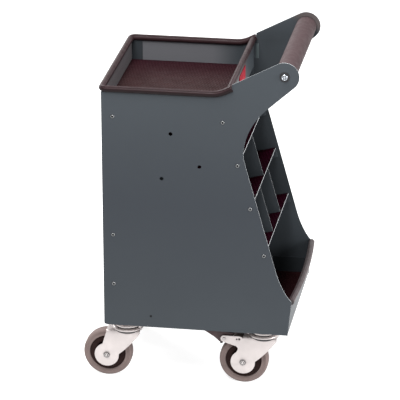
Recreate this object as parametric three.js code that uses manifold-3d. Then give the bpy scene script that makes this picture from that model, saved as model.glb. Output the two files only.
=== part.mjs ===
// A rolling tool cart in sheet metal: side panels with handle ears, a lined tray, three sloping
// lined shelves with dividers, a lined bin with a bowed lip, a padded handle and four casters.
// Millimetres, +Z up. +X points from the closed back to the open front with the handle,
// and +Y to the right of a person who stands at the handle and looks at the cart.
// Places along X are counted from the back edge of the side panels, and heights from the floor.
// The group is then shifted so that its origin lies under the middle of the whole cart.

import * as THREE from 'three';
import { mergeVertices } from 'three/addons/utils/BufferGeometryUtils.js';
import Module from 'manifold-3d';

const wasm = await Module();
wasm.setup();

// Carcass
const cartWidth = 410;
const sheet = 1.5;
const seatGap = 0.3;
const casterHeight = 160;
const rimDrop = 53;
const footLength = 468;
const footCut = 6;

// Front edge of the side panels, from the bin's lip up to the handle ear
const lipHeight = 252;
const lipReach = 477;
const binBendReach = 436;
const binBendHeight = 333;
const shelfEdgeAngle = 15.5;
const notchStartDrop = 175;
const notchPull = 40;
const notchEarPull = 60;
const binPull = 40;
const binEndPull = 14;

// Handle ear
const earReach = 455.5;
const handleHeight = 845;
const earRadius = 36;
const earUnderAngle = 42;
const earUnderLength = 92;
const earTopAngle = 27.5;
const rimBendRadius = 80;

// Accessory holes, counted from the back edge and down from the rim
const accessoryHoleDiameter = 10;
const accessoryHoles = [
  { reach: 173, drop: 110 },
  { reach: 245, drop: 193 },
  { reach: 150, drop: 229 },
];

// Back panel and tray
const backFlange = 30;
const sideFlange = 25;
const trayDepth = 59;
const trayMatThickness = 3;
const handleGap = 135.5;
const trayWallRise = 12;
const tabLength = 13;
const tabHeight = 40;
const tabDrop = 1;
const plateLength = 96;
const plateHeight = 34;
const plateThickness = 1.2;
const plateDrop = 24;

// Edge beads
const beadDiameter = 16;
const beadSlotDepth = 9;
const beadSlotGap = 0.3;
const beadCornerRadius = 12;
const beadEndOverhang = 6;

// Shelves: their front edges lie a setback behind the side panels' leaning edge
const shelfTilt = 14.5;
const shelfMatThickness = 2.5;
const shelfSideFlange = 25;
const shelfFlangeLength = 150;
const shelfSetback = 9.5;
const upperShelfDrop = 171;
const middleShelfRise = 5.5;
const lowerShelfRise = 51;
const dividerSetback = 1.5;

// Bin
const baseFlange = 45;
const binMatThickness = 3;
const lipBow = 9;
const lipMatThickness = 2;
const lipSetback = 1;
const lipSteps = 12;
const lipRows = 6;

// Handle
const gripDiameter = 52;
const gripEndRound = 4;
const tubeDiameter = 26;
const tubeWall = 3;
const tubePlugLength = 20;
const handleBoltDiameter = 8;
const handleBoltLength = 24;
const handleWasherDiameter = 23;
const handleWasherThickness = 1.6;
const handleDomeDiameter = 15;
const handleDomeHeight = 5.5;
const handleSocketDiameter = 6;
const handleSocketDepth = 3;

// Casters
const wheelDiameter = 125;
const wheelWidth = 32;
const rimDiameter = 90;
const rimFaceInset = 4;
const hubDiameter = 40;
const rimBandThickness = 9;
const webThickness = 9;
const axleDiameter = 10;
const axleHexWidth = 17;
const axleHexHeight = 5;
const axleEnd = 2;
const trail = 51;
const casterPlateLength = 100;
const casterPlateWidth = 85;
const casterPlateThickness = 3;
const casterPlateCorner = 9;
const boltPitchLength = 73;
const boltPitchWidth = 60;
const casterBoltHex = 13;
const casterBoltHexHeight = 7;
const casterBoltDiameter = 8;
const casterBoltEnd = 5;
const upperCupDiameter = 56;
const upperCupHeight = 9;
const raceDiameter = 58;
const raceGroove = 2.5;
const kingPinDiameter = 12;
const kingPinHeadDiameter = 20;
const kingPinHeadHeight = 3;
const runningGap = 0.3;
const forkSheet = 2.5;
const forkClearWidth = 53;
const forkCrownHeight = 70;
const forkCrownLength = 86;
const forkLobeRadius = 32;
const forkCrownDrop = 6;
const forkEdgePull = 26;
const forkLobeStartAngle = 5;
const forkLobeEndAngle = 110;
const backCasterReach = 50;
const frontCasterReach = 400;
const backCasterInset = 58;
const frontCasterInset = 65;

// Brake on the front casters, counted from the wheel's axle
const brakePivotReach = -48;
const brakePivotHeight = 62;
const brakeArmRadius = 9;
const brakeArmLean = 17;
const brakeArmLength = 27;
const brakeNotchDepth = 20;
const brakeLobeEndAngle = 126;
const brakePinDiameter = 6;
const brakePinHead = 9;
const brakePinHeadHeight = 1.5;
const pedalWidth = 46;
const pedalTipReach = -102;
const pedalTipHeight = 86;
const pedalTipThickness = 6;
const pedalHeelReach = -25;
const pedalHeelHeight = 76;
const pedalHeelThickness = 8;
const pedalBossRadius = 7.5;
const pedalBossEndAngle = 25;
const pedalBossStartAngle = 70;
const pedalFootHeight = 51;
const pedalFootBack = -61.5;
const pedalFootFront = -52;
const pedalCurvePull = 5.5;
const pedalCurveRise = 9;
const shoeLength = 7;
const shoeHeight = 9.5;
const shoeWidth = 24;
const shoeSetback = 2;

// Fineness of the round shapes
const wheelSteps = 32;
const wheelCentreSteps = 24;
const turnedSteps = 18;
const studSteps = 8;
const panelSteps = 14;
const arcSteps = 5;
const lobeSteps = 8;
const bendSteps = 4;
const beadSides = 10;
const hexSides = 6;

// Colours
const paintColour = 0x545c62;
const beadColour = 0x5a4a4c;
const matColour = 0x452f2f;
const gripColour = 0x80706f;
const zincColour = 0xdcd6d8;
const tyreColour = 0x857878;
const wheelCentreColour = 0x2f2426;
const pedalColour = 0x5a4648;
const shoeColour = 0x1d1a1b;
const plateColour = 0xa32630;

const half = 1 / 2;
const fullTurn = 2 * Math.PI;
const halfTurn = Math.PI;
const quarterTurn = Math.PI * half;
const degrees = THREE.MathUtils.DEG2RAD;
const rimHeight = handleHeight - rimDrop;
const trayWallHeight = rimHeight + trayWallRise;
const notchStartHeight = rimHeight - notchStartDrop;
const upperShelfHeight = rimHeight - upperShelfDrop;
const lowerShelfHeight = binBendHeight + lowerShelfRise;
const middleShelfHeight = (upperShelfHeight + lowerShelfHeight) * half + middleShelfRise;
const innerHalfWidth = cartWidth * half - sheet;
const clearHalfWidth = innerHalfWidth - seatGap;
const flangedHalfWidth = clearHalfWidth - sheet - seatGap;
const backClear = sheet + seatGap;
const flangeClear = backFlange + seatGap;
const wheelRadius = wheelDiameter * half;
const beadRadius = beadDiameter * half;
const beadLift = beadRadius - beadSlotDepth + beadSlotGap;

// Solids

function manifoldOf(geometry) {
  const bare = geometry.clone();
  bare.deleteAttribute('normal');
  bare.deleteAttribute('uv');
  const merged = mergeVertices(bare);
  const mesh = new wasm.Mesh({
    numProp: 3,
    vertProperties: new Float32Array(merged.attributes.position.array),
    triVerts: new Uint32Array(merged.index.array),
  });
  return new wasm.Manifold(mesh);
}

function geometryOf(manifold) {
  const mesh = manifold.getMesh();
  const geometry = new THREE.BufferGeometry();
  geometry.setAttribute('position', new THREE.BufferAttribute(mesh.vertProperties, 3));
  geometry.setIndex(new THREE.BufferAttribute(mesh.triVerts, 1));
  geometry.computeVertexNormals();
  return geometry;
}

function join(first, ...others) {
  return geometryOf(others.reduce((sum, next) => sum.add(manifoldOf(next)), manifoldOf(first)));
}

function block(low, high) {
  const size = high.map((value, axis) => value - low[axis]);
  const middle = high.map((value, axis) => (value + low[axis]) * half);
  return new THREE.BoxGeometry(...size).translate(...middle);
}

// A flat piece whose outline is drawn in X and Z, and whose thickness runs from y up
function sidePiece(shape, y, thickness, steps = arcSteps) {
  const geometry = new THREE.ExtrudeGeometry(shape, {
    depth: thickness, bevelEnabled: false, curveSegments: steps,
  });
  return geometry.rotateX(quarterTurn).translate(0, y + thickness, 0);
}

// A flat piece whose outline is drawn in X and Y, and whose thickness runs from z up
function flatPiece(shape, z, thickness) {
  const geometry = new THREE.ExtrudeGeometry(shape, {
    depth: thickness, bevelEnabled: false, curveSegments: arcSteps,
  });
  return geometry.translate(0, 0, z);
}

function outline(points) {
  return new THREE.Shape(points.map(([x, y]) => new THREE.Vector2(x, y)));
}

// A turned piece: its profile lists radius and place along the axis, which is Y
function turned(profile, steps) {
  const points = profile.map(([radius, along]) => new THREE.Vector2(radius, along));
  return new THREE.LatheGeometry(points, steps);
}

function ring(profile, steps) {
  return turned([...profile, profile[0]], steps);
}

// Turns a turned piece so that its profile's places run down from the origin
function hanging(geometry) {
  return geometry.rotateX(-quarterTurn);
}

function rod(diameter, from, to, steps) {
  const radius = diameter * half;
  return turned([[0, from], [radius, from], [radius, to], [0, to]], steps);
}

function hexBlock(width, from, to) {
  return rod(width / Math.cos(halfTurn / hexSides), from, to, hexSides);
}

// A solid drawn along a line: each station gives its centre and the section's two directions
function sweep(section, stations) {
  const corners = section.length;
  const positions = [];
  for (const { at, across, up } of stations) {
    for (const [side, rise] of section) {
      const point = at.clone().addScaledVector(across, side).addScaledVector(up, rise);
      positions.push(point.x, point.y, point.z);
    }
  }
  const faces = [];
  for (let row = 0; row < stations.length - 1; row += 1) {
    for (let side = 0; side < corners; side += 1) {
      const next = (side + 1) % corners;
      const a = row * corners + side;
      const b = row * corners + next;
      faces.push(a, b, b + corners, a, b + corners, a + corners);
    }
  }
  const caps = THREE.ShapeUtils.triangulateShape(section.map(([x, y]) => new THREE.Vector2(x, y)), []);
  const last = (stations.length - 1) * corners;
  for (const [a, b, c] of caps) {
    faces.push(c, b, a);
    faces.push(last + a, last + b, last + c);
  }
  const geometry = new THREE.BufferGeometry();
  geometry.setAttribute('position', new THREE.Float32BufferAttribute(positions, 3));
  geometry.setIndex(faces);
  geometry.computeVertexNormals();
  return geometry;
}

// Round edge bead with a slot from below for the sheet that it covers
function beadSection() {
  const slotHalf = sheet * half + beadSlotGap;
  const slotAngle = Math.asin(slotHalf / beadRadius);
  const points = [];
  for (let step = 0; step <= beadSides; step += 1) {
    const angle = slotAngle - quarterTurn + (fullTurn - 2 * slotAngle) * step / beadSides;
    points.push([beadRadius * Math.cos(angle), beadRadius * Math.sin(angle)]);
  }
  points.push([-slotHalf, beadSlotDepth - beadRadius]);
  points.push([slotHalf, beadSlotDepth - beadRadius]);
  return points;
}

const finishes = {
  paint: { color: paintColour, roughness: 0.5, metalness: 0.1 },
  bead: { color: beadColour, roughness: 0.7, metalness: 0 },
  mat: { color: matColour, roughness: 0.8, metalness: 0 },
  grip: { color: gripColour, roughness: 0.75, metalness: 0 },
  zinc: { color: zincColour, roughness: 0.3, metalness: 0.9 },
  tyre: { color: tyreColour, roughness: 0.8, metalness: 0 },
  wheelCentre: { color: wheelCentreColour, roughness: 0.5, metalness: 0 },
  pedal: { color: pedalColour, roughness: 0.6, metalness: 0 },
  shoe: { color: shoeColour, roughness: 0.7, metalness: 0 },
  plate: { color: plateColour, roughness: 0.4, metalness: 0 },
};

function piece(name, finish, geometry) {
  const mesh = new THREE.Mesh(geometry, new THREE.MeshStandardMaterial(finishes[finish]));
  mesh.name = name;
  return mesh;
}

// Side panels

const earUnderEnd = [
  earReach + earRadius * Math.sin(earUnderAngle * degrees),
  handleHeight - earRadius * Math.cos(earUnderAngle * degrees),
];
const notchEnd = [
  earUnderEnd[0] - earUnderLength * Math.cos(earUnderAngle * degrees),
  earUnderEnd[1] - earUnderLength * Math.sin(earUnderAngle * degrees),
];
const earTopEnd = [
  earReach - earRadius * Math.sin(earTopAngle * degrees),
  handleHeight + earRadius * Math.cos(earTopAngle * degrees),
];
const earTopSlope = Math.tan(earTopAngle * degrees);
const coveredDrop = beadRadius / Math.cos(earTopAngle * degrees);
const rimBendReach = earTopEnd[0] - (earTopEnd[1] - coveredDrop - rimHeight) / earTopSlope;
const rimBendStart = rimBendReach - rimBendRadius * Math.tan(earTopAngle * half * degrees);
const rimBendCentre = [rimBendStart, rimHeight + rimBendRadius];
const trayWallReach = earReach - handleGap;
const beadEndReach = trayWallReach + beadEndOverhang;
const rimStep = beadEndReach + seatGap;
const beadUnder = rimHeight + beadLift - beadRadius - seatGap;
const cornerClear = beadCornerRadius + sheet;
const trayBeadEnd = cartWidth * half - sheet * half - beadRadius - seatGap;

function earTopHeight(reach) {
  return earTopEnd[1] - (earTopEnd[0] - reach) * earTopSlope;
}

function shelfEdgeReach(height) {
  return binBendReach - (height - binBendHeight) * Math.tan(shelfEdgeAngle * degrees);
}

function panelOutline() {
  const shape = new THREE.Shape();
  const lean = shelfEdgeAngle * degrees;
  const under = earUnderAngle * degrees;
  const notchStart = [shelfEdgeReach(notchStartHeight), notchStartHeight];
  shape.moveTo(0, casterHeight + footCut);
  shape.lineTo(footCut, casterHeight);
  shape.lineTo(footLength, casterHeight);
  shape.lineTo(lipReach, lipHeight);
  shape.bezierCurveTo(
    lipReach - binEndPull, lipHeight + binEndPull,
    binBendReach + binPull * Math.sin(lean), binBendHeight - binPull * Math.cos(lean),
    binBendReach, binBendHeight,
  );
  shape.lineTo(...notchStart);
  shape.bezierCurveTo(
    notchStart[0] - notchPull * Math.sin(lean), notchStart[1] + notchPull * Math.cos(lean),
    notchEnd[0] - notchEarPull * Math.cos(under), notchEnd[1] - notchEarPull * Math.sin(under),
    ...notchEnd,
  );
  shape.lineTo(...earUnderEnd);
  const arcStart = earUnderAngle * degrees - quarterTurn;
  const arcEnd = earTopAngle * degrees + quarterTurn;
  shape.absarc(earReach, handleHeight, earRadius, arcStart, arcEnd, false);
  shape.lineTo(rimStep, earTopHeight(rimStep));
  shape.lineTo(rimStep, earTopHeight(rimStep) - coveredDrop);
  shape.absarc(...rimBendCentre, rimBendRadius, earTopAngle * degrees - quarterTurn, -quarterTurn, true);
  shape.lineTo(cornerClear, rimHeight);
  shape.lineTo(cornerClear, beadUnder);
  shape.lineTo(0, beadUnder);
  return shape;
}

function roundHole(x, y, diameter) {
  const path = new THREE.Path();
  path.absarc(x, y, diameter * half, 0, fullTurn, true);
  return path;
}

function sidePanel(name, side) {
  const shape = panelOutline();
  for (const { reach, drop } of accessoryHoles) {
    shape.holes.push(roundHole(reach, rimHeight - drop, accessoryHoleDiameter));
  }
  shape.holes.push(roundHole(earReach, handleHeight, handleBoltDiameter + 2 * runningGap));
  const inner = side > 0 ? innerHalfWidth : -innerHalfWidth - sheet;
  return piece(name, 'paint', sidePiece(shape, inner, sheet, panelSteps));
}

// Back panel, tray and beads

function backPanel() {
  const low = casterHeight + sheet + seatGap;
  const topHalfWidth = cartWidth * half - cornerClear;
  const wall = block([0, -clearHalfWidth, low], [sheet, clearHalfWidth, beadUnder]);
  const top = block([0, -topHalfWidth, low], [sheet, topHalfWidth, rimHeight]);
  return piece('back_panel', 'paint', join(wall, top, ...sideFlanges(0, backFlange, low, beadUnder)));
}

// A sheet between the side panels, narrower at the back where it passes between the flanges
function floorSheet(backReach, neckReach, frontReach, z, thickness) {
  return flatPiece(outline([
    [backReach, -flangedHalfWidth],
    [neckReach, -flangedHalfWidth],
    [neckReach, -clearHalfWidth],
    [frontReach, -clearHalfWidth],
    [frontReach, clearHalfWidth],
    [neckReach, clearHalfWidth],
    [neckReach, flangedHalfWidth],
    [backReach, flangedHalfWidth],
  ]), z, thickness);
}

function sideFlanges(backReach, frontReach, low, high) {
  return [-1, 1].map((side) => {
    const edges = [side * clearHalfWidth, side * (clearHalfWidth - sheet)];
    return block([backReach, Math.min(...edges), low], [frontReach, Math.max(...edges), high]);
  });
}

const trayFloorTop = rimHeight - trayDepth - trayMatThickness;

function trayPan() {
  const low = trayFloorTop - sheet;
  const floor = floorSheet(backClear, flangeClear, trayWallReach, low, sheet);
  const flanges = sideFlanges(flangeClear, trayWallReach, trayFloorTop - sideFlange, trayFloorTop);
  const shoulder = earTopHeight(trayWallReach - sheet) - 2 * coveredDrop - seatGap
    + beadLift / Math.cos(earTopAngle * degrees);
  const wall = [[clearHalfWidth, shoulder], [trayBeadEnd, trayWallHeight]].map(([edge, height]) => (
    block([trayWallReach - sheet, -edge, low], [trayWallReach, edge, height])
  ));
  const tabTop = rimHeight - tabDrop;
  const tabs = sideFlanges(trayWallReach - sheet, trayWallReach + tabLength, tabTop - tabHeight, tabTop);
  return piece('tray_pan', 'paint', join(floor, ...flanges, ...wall, ...tabs));
}

function trayMat() {
  const low = trayFloorTop + seatGap;
  const high = trayFloorTop + trayMatThickness;
  const front = trayWallReach - sheet - seatGap;
  const mat = floorSheet(backClear, flangeClear, front, low, high - low);
  return piece('tray_mat', 'mat', mat);
}

function blankPlate() {
  const low = rimHeight - plateDrop - plateHeight * half;
  const front = trayWallReach + seatGap;
  const plate = block(
    [front, -plateLength * half, low],
    [front + plateThickness, plateLength * half, low + plateHeight],
  );
  return piece('blank_plate', 'plate', plate);
}

// Stations of the rim bead: from the left ear round the back to the right ear
function rimStations() {
  const y = cartWidth * half - sheet * half;
  const z = rimHeight + beadLift;
  const slope = earTopAngle * degrees;
  const bendRadius = rimBendRadius - beadLift;
  const outward = new THREE.Vector3(0, -1, 0);
  const stations = [];
  const addSide = (reach, height, angle) => {
    const up = new THREE.Vector3(-Math.sin(angle), 0, Math.cos(angle));
    stations.push({ at: new THREE.Vector3(reach, -y, height), across: outward.clone(), up });
  };
  const endHeight = earTopHeight(beadEndReach) - coveredDrop + beadLift / Math.cos(slope);
  addSide(beadEndReach, endHeight, slope);
  for (let step = 0; step <= bendSteps; step += 1) {
    const angle = slope * (1 - step / bendSteps);
    const reach = rimBendCentre[0] + bendRadius * Math.sin(angle);
    addSide(reach, rimBendCentre[1] - bendRadius * Math.cos(angle), angle);
  }
  const corner = new THREE.Vector3(sheet * half + beadCornerRadius, beadCornerRadius - y, z);
  for (let step = 0; step <= bendSteps; step += 1) {
    const angle = quarterTurn * step / bendSteps;
    const away = new THREE.Vector3(-Math.sin(angle), -Math.cos(angle), 0);
    const at = corner.clone().addScaledVector(away, beadCornerRadius);
    stations.push({ at, across: away, up: new THREE.Vector3(0, 0, 1) });
  }
  const mirrored = stations.slice().reverse().map(({ at, across, up }) => ({
    at: new THREE.Vector3(at.x, -at.y, at.z),
    across: new THREE.Vector3(across.x, -across.y, across.z),
    up: up.clone(),
  }));
  return [...stations, ...mirrored];
}

function rimBead() {
  return piece('rim_bead', 'bead', sweep(beadSection(), rimStations()));
}

function trayFrontBead() {
  const x = trayWallReach - sheet * half;
  const z = trayWallHeight + beadLift;
  const stations = [trayBeadEnd, -trayBeadEnd].map((y) => ({
    at: new THREE.Vector3(x, y, z),
    across: new THREE.Vector3(1, 0, 0),
    up: new THREE.Vector3(0, 0, 1),
  }));
  return piece('tray_front_bead', 'bead', sweep(beadSection(), stations));
}

// Shelves and dividers. A shelf's own frame has its origin at the front edge of its upper face,
// and its -X runs back along the slope.

const tiltRun = Math.cos(shelfTilt * degrees);
const tiltRise = Math.tan(shelfTilt * degrees);

function shelfAt(name, height, cells) {
  return { name, height, cells, reach: shelfEdgeReach(height) - shelfSetback };
}

const upperShelf = shelfAt('upper', upperShelfHeight, ['']);
const middleShelf = shelfAt('middle', middleShelfHeight, ['_left', '_right']);
const lowerShelf = shelfAt('lower', lowerShelfHeight, ['_left', '_centre', '_right']);

function shelfGroup(shelf, ...pieces) {
  const group = new THREE.Group();
  group.position.set(shelf.reach, 0, shelf.height);
  group.rotation.y = -shelfTilt * degrees;
  group.add(...pieces);
  return group;
}

function shelfSheet(shelf) {
  const back = -(shelf.reach - backClear) / tiltRun;
  const neck = -(shelf.reach - flangeClear) / tiltRun;
  const floor = floorSheet(back, neck, 0, -sheet, sheet);
  const flanges = sideFlanges(-shelfFlangeLength, 0, -shelfSideFlange, 0);
  return piece(`shelf_${shelf.name}`, 'paint', join(floor, ...flanges));
}

function dividerPlaces(shelf) {
  const pitch = 2 * clearHalfWidth / shelf.cells.length;
  return shelf.cells.slice(1).map((cell, index) => pitch * (index + 1) - clearHalfWidth);
}

function shelfMats(shelf) {
  const back = -(shelf.reach - backClear) / tiltRun + shelfMatThickness * tiltRise;
  const neck = -(shelf.reach - flangeClear) / tiltRun + shelfMatThickness * tiltRise;
  const thickness = shelfMatThickness - seatGap;
  const whole = floorSheet(back, neck, 0, seatGap, thickness);
  const gap = sheet * half + seatGap;
  const edges = [-cartWidth, ...dividerPlaces(shelf), cartWidth];
  return shelf.cells.map((cell, index) => {
    const low = edges[index] + gap;
    const high = edges[index + 1] - gap;
    const room = block(
      [back - cartWidth, low, -shelfMatThickness],
      [cartWidth, high, 2 * shelfMatThickness],
    );
    const mat = geometryOf(manifoldOf(whole).intersect(manifoldOf(room)));
    return piece(`shelf_${shelf.name}_mat${cell}`, 'mat', mat);
  });
}

function dividerShape(shelf, above) {
  const bottom = (reach) => shelf.height - (shelf.reach - reach) * tiltRise + seatGap / tiltRun;
  const top = (reach) => above.height - (above.reach - reach) * tiltRise - (sheet + seatGap) / tiltRun;
  const front = [shelf.reach - dividerSetback, above.reach - dividerSetback];
  return outline([
    [backClear, bottom(backClear)],
    [front[0], bottom(front[0])],
    [front[1], top(front[1])],
    [backClear, top(backClear)],
  ]);
}

function dividers(shelf, above) {
  return dividerPlaces(shelf).map((y, index) => {
    const end = shelf.cells.length > 2 ? ['_left', '_right'][index] : '';
    const plate = sidePiece(dividerShape(shelf, above), y - sheet * half, sheet);
    return piece(`divider_${shelf.name}${end}`, 'paint', plate);
  });
}

// Bin

function basePan() {
  const front = footLength - lipSetback - sheet - seatGap;
  const floor = floorSheet(0, flangeClear, front, casterHeight, sheet);
  const flanges = sideFlanges(flangeClear, front, casterHeight, casterHeight + baseFlange);
  return piece('base_pan', 'paint', join(floor, ...flanges));
}

function binMat() {
  const low = casterHeight + sheet + seatGap;
  const edge = clearHalfWidth - sheet - seatGap;
  const front = footLength - lipSetback - sheet - lipMatThickness - 2 * seatGap;
  const mat = block([backClear, -edge, low], [front, edge, low + binMatThickness - seatGap]);
  return piece('bin_mat', 'mat', mat);
}

// Centre of the lip's sheet at a height and a place across the cart
function lipReachAt(height, y) {
  const rise = (height - casterHeight) / (lipHeight - casterHeight);
  const flat = footLength + (lipReach - footLength) * rise - lipSetback - sheet * half;
  const bulge = 1 - (y / clearHalfWidth) ** 2;
  return flat + lipBow * rise * bulge;
}

// A skin that follows the bowed lip, offset from the middle of its sheet
function lipSkin(low, high, halfWidth, inner, outer) {
  const loop = [];
  for (let row = 0; row <= lipRows; row += 1) {
    loop.push({ height: low + (high - low) * row / lipRows, offset: outer });
  }
  for (let row = lipRows; row >= 0; row -= 1) {
    loop.push({ height: low + (high - low) * row / lipRows, offset: inner });
  }
  const count = loop.length;
  const positions = [];
  const faces = [];
  for (let step = 0; step <= lipSteps; step += 1) {
    const y = halfWidth * (2 * step / lipSteps - 1);
    for (const { height, offset } of loop) {
      positions.push(lipReachAt(height, y) + offset, y, height);
    }
  }
  for (let step = 0; step < lipSteps; step += 1) {
    for (let side = 0; side < count; side += 1) {
      const a = step * count + side;
      const b = step * count + (side + 1) % count;
      faces.push(a, a + count, b + count, a, b + count, b);
    }
  }
  const end = lipSteps * count;
  for (let row = 0; row < lipRows; row += 1) {
    const [a, b, c, d] = [row, row + 1, count - 2 - row, count - 1 - row];
    faces.push(a, b, c, a, c, d);
    faces.push(end + a, end + c, end + b, end + a, end + d, end + c);
  }
  const geometry = new THREE.BufferGeometry();
  geometry.setAttribute('position', new THREE.Float32BufferAttribute(positions, 3));
  geometry.setIndex(faces);
  geometry.computeVertexNormals();
  return geometry;
}

function binLip() {
  const skin = lipSkin(casterHeight, lipHeight, clearHalfWidth, -sheet * half, sheet * half);
  return piece('bin_lip', 'paint', skin);
}

function binLipMat() {
  const low = casterHeight + sheet + binMatThickness + 2 * seatGap;
  const high = lipHeight + beadLift - beadRadius - seatGap;
  const outer = -sheet * half - seatGap;
  const edge = clearHalfWidth - sheet - seatGap;
  return piece('bin_lip_mat', 'mat', lipSkin(low, high, edge, outer - lipMatThickness, outer));
}

function binLipBead() {
  const stations = [];
  const end = innerHalfWidth - seatGap;
  for (let step = 0; step <= lipSteps; step += 1) {
    const y = end * (1 - 2 * step / lipSteps);
    const top = new THREE.Vector3(lipReachAt(lipHeight, y), y, lipHeight);
    const foot = new THREE.Vector3(lipReachAt(casterHeight, y), y, casterHeight);
    const up = top.clone().sub(foot).normalize();
    const across = new THREE.Vector3(1, 2 * y / clearHalfWidth ** 2 * lipBow, 0);
    across.addScaledVector(up, -across.dot(up)).normalize();
    stations.push({ at: top.addScaledVector(up, beadLift), across, up });
  }
  return piece('bin_lip_bead', 'bead', sweep(beadSection(), stations));
}

// Handle

function handleTube() {
  const end = clearHalfWidth;
  const outer = tubeDiameter * half;
  const bore = outer - tubeWall;
  const thread = handleBoltDiameter * half + runningGap;
  const plug = end - tubePlugLength;
  const profile = [
    [thread, -end], [outer, -end], [outer, end], [thread, end],
    [thread, plug], [bore, plug], [bore, -plug], [thread, -plug],
  ];
  return piece('handle_tube', 'zinc', ring(profile, turnedSteps));
}

function handleGrip() {
  const end = clearHalfWidth - seatGap;
  const outer = gripDiameter * half;
  const bore = tubeDiameter * half + seatGap;
  const profile = [
    [bore, -end], [outer - gripEndRound, -end], [outer, gripEndRound - end],
    [outer, end - gripEndRound], [outer - gripEndRound, end], [bore, end],
  ];
  return piece('handle_grip', 'grip', ring(profile, wheelSteps));
}

function handleBolt(name, side) {
  const shank = handleBoltDiameter * half;
  const washer = handleWasherDiameter * half;
  const dome = handleDomeDiameter * half;
  const socket = handleSocketDiameter * half;
  const face = seatGap + handleWasherThickness;
  const top = face + handleDomeHeight;
  const shoulderShare = 0.85;
  const crownShare = 0.6;
  const profile = [
    [0, -handleBoltLength], [shank, -handleBoltLength], [shank, seatGap], [washer, seatGap],
    [washer, face], [dome, face], [dome * shoulderShare, face + handleDomeHeight * crownShare],
    [socket, top], [socket, top - handleSocketDepth], [0, top - handleSocketDepth],
  ];
  const mesh = piece(name, 'zinc', turned(profile, turnedSteps));
  mesh.position.y = side * cartWidth * half;
  mesh.rotation.z = side > 0 ? 0 : Math.PI;
  return mesh;
}

function handleGroup() {
  const group = new THREE.Group();
  group.position.set(earReach, 0, handleHeight);
  group.add(handleTube(), handleGrip());
  group.add(handleBolt('handle_bolt_left', -1), handleBolt('handle_bolt_right', 1));
  return group;
}

// Casters: the group's origin is on the swivel's axis at the foot of the cart

const axleDrop = casterHeight - wheelRadius;
const crownTop = forkCrownHeight - axleDrop;
const forkOuterHalf = forkClearWidth * half + forkSheet;

function casterPlateOutline() {
  const shape = new THREE.Shape();
  const x = casterPlateLength * half - casterPlateCorner;
  const y = casterPlateWidth * half - casterPlateCorner;
  shape.absarc(x, y, casterPlateCorner, 0, quarterTurn, false);
  shape.absarc(-x, y, casterPlateCorner, quarterTurn, halfTurn, false);
  shape.absarc(-x, -y, casterPlateCorner, halfTurn, -quarterTurn, false);
  shape.absarc(x, -y, casterPlateCorner, -quarterTurn, 0, false);
  return shape;
}

function casterBolt() {
  const start = seatGap + casterPlateThickness * half;
  const face = seatGap + casterPlateThickness + casterBoltHexHeight;
  return join(
    hanging(hexBlock(casterBoltHex, start, face)),
    hanging(rod(casterBoltDiameter, start, face + casterBoltEnd, studSteps)),
  );
}

// The king pin hangs from the plate through the ball race and the fork's crown
function kingPin() {
  const shank = kingPinDiameter * half;
  const head = kingPinHeadDiameter * half;
  const start = seatGap + casterPlateThickness * half;
  const under = -crownTop + forkSheet + runningGap;
  const end = under + kingPinHeadHeight;
  const profile = [[0, start], [shank, start], [shank, under], [head, under], [head, end], [0, end]];
  return hanging(turned(profile, studSteps));
}

const cupEnd = seatGap + casterPlateThickness + upperCupHeight;

function casterPlate(name) {
  const sheetPart = flatPiece(casterPlateOutline(), -seatGap - casterPlateThickness, casterPlateThickness);
  const cup = hanging(rod(upperCupDiameter, seatGap + casterPlateThickness * half, cupEnd, turnedSteps));
  const bolts = [-1, 1].flatMap((along) => [-1, 1].map((across) => (
    casterBolt().translate(along * boltPitchLength * half, across * boltPitchWidth * half, 0)
  )));
  return piece(name, 'zinc', join(sheetPart, cup, kingPin(), ...bolts));
}

function ballRace(name) {
  const start = cupEnd + runningGap;
  const end = -crownTop - runningGap;
  const middle = (start + end) * half;
  const bore = kingPinDiameter * half + runningGap;
  const outer = raceDiameter * half;
  const profile = [
    [bore, start], [outer - raceGroove, start], [outer, middle - raceGroove * half],
    [outer, middle + raceGroove * half], [outer - raceGroove, end], [bore, end],
  ];
  return piece(name, 'zinc', hanging(ring(profile, turnedSteps)));
}

// The fork's leg, seen from the side and counted from the axle
function legOutline(withBrake) {
  const shape = new THREE.Shape();
  const lobe = (angle) => [
    forkLobeRadius * Math.cos(angle * degrees), forkLobeRadius * Math.sin(angle * degrees),
  ];
  const lobeEnd = withBrake ? brakeLobeEndAngle : forkLobeEndAngle;
  shape.moveTo(0, forkCrownHeight);
  if (withBrake) {
    const armTop = brakePivotHeight + brakeArmRadius;
    const lean = brakeArmLean * degrees;
    const armRoot = [
      brakePivotReach - brakeArmRadius * Math.sin(lean) + brakeArmLength * Math.cos(lean),
      brakePivotHeight - brakeArmRadius * Math.cos(lean) - brakeArmLength * Math.sin(lean),
    ];
    shape.lineTo(brakePivotReach, Math.min(armTop, forkCrownHeight + brakeArmRadius));
    shape.absarc(
      brakePivotReach, brakePivotHeight, brakeArmRadius, quarterTurn, halfTurn + quarterTurn - lean, false,
    );
    shape.lineTo(...armRoot);
    shape.quadraticCurveTo(
      armRoot[0] + brakeNotchDepth, armRoot[1] - brakeArmRadius * half, ...lobe(lobeEnd),
    );
  } else {
    shape.lineTo(...lobe(lobeEnd));
  }
  shape.absarc(0, 0, forkLobeRadius, lobeEnd * degrees, forkLobeStartAngle * degrees + fullTurn, false);
  shape.quadraticCurveTo(
    forkCrownLength - forkEdgePull, forkEdgePull,
    forkCrownLength, forkCrownHeight - forkCrownDrop,
  );
  shape.lineTo(forkCrownLength, forkCrownHeight);
  shape.holes.push(roundHole(0, 0, axleDiameter + 2 * runningGap));
  if (withBrake) {
    shape.holes.push(roundHole(brakePivotReach, brakePivotHeight, brakePinDiameter + 2 * runningGap));
  }
  return shape;
}

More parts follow.
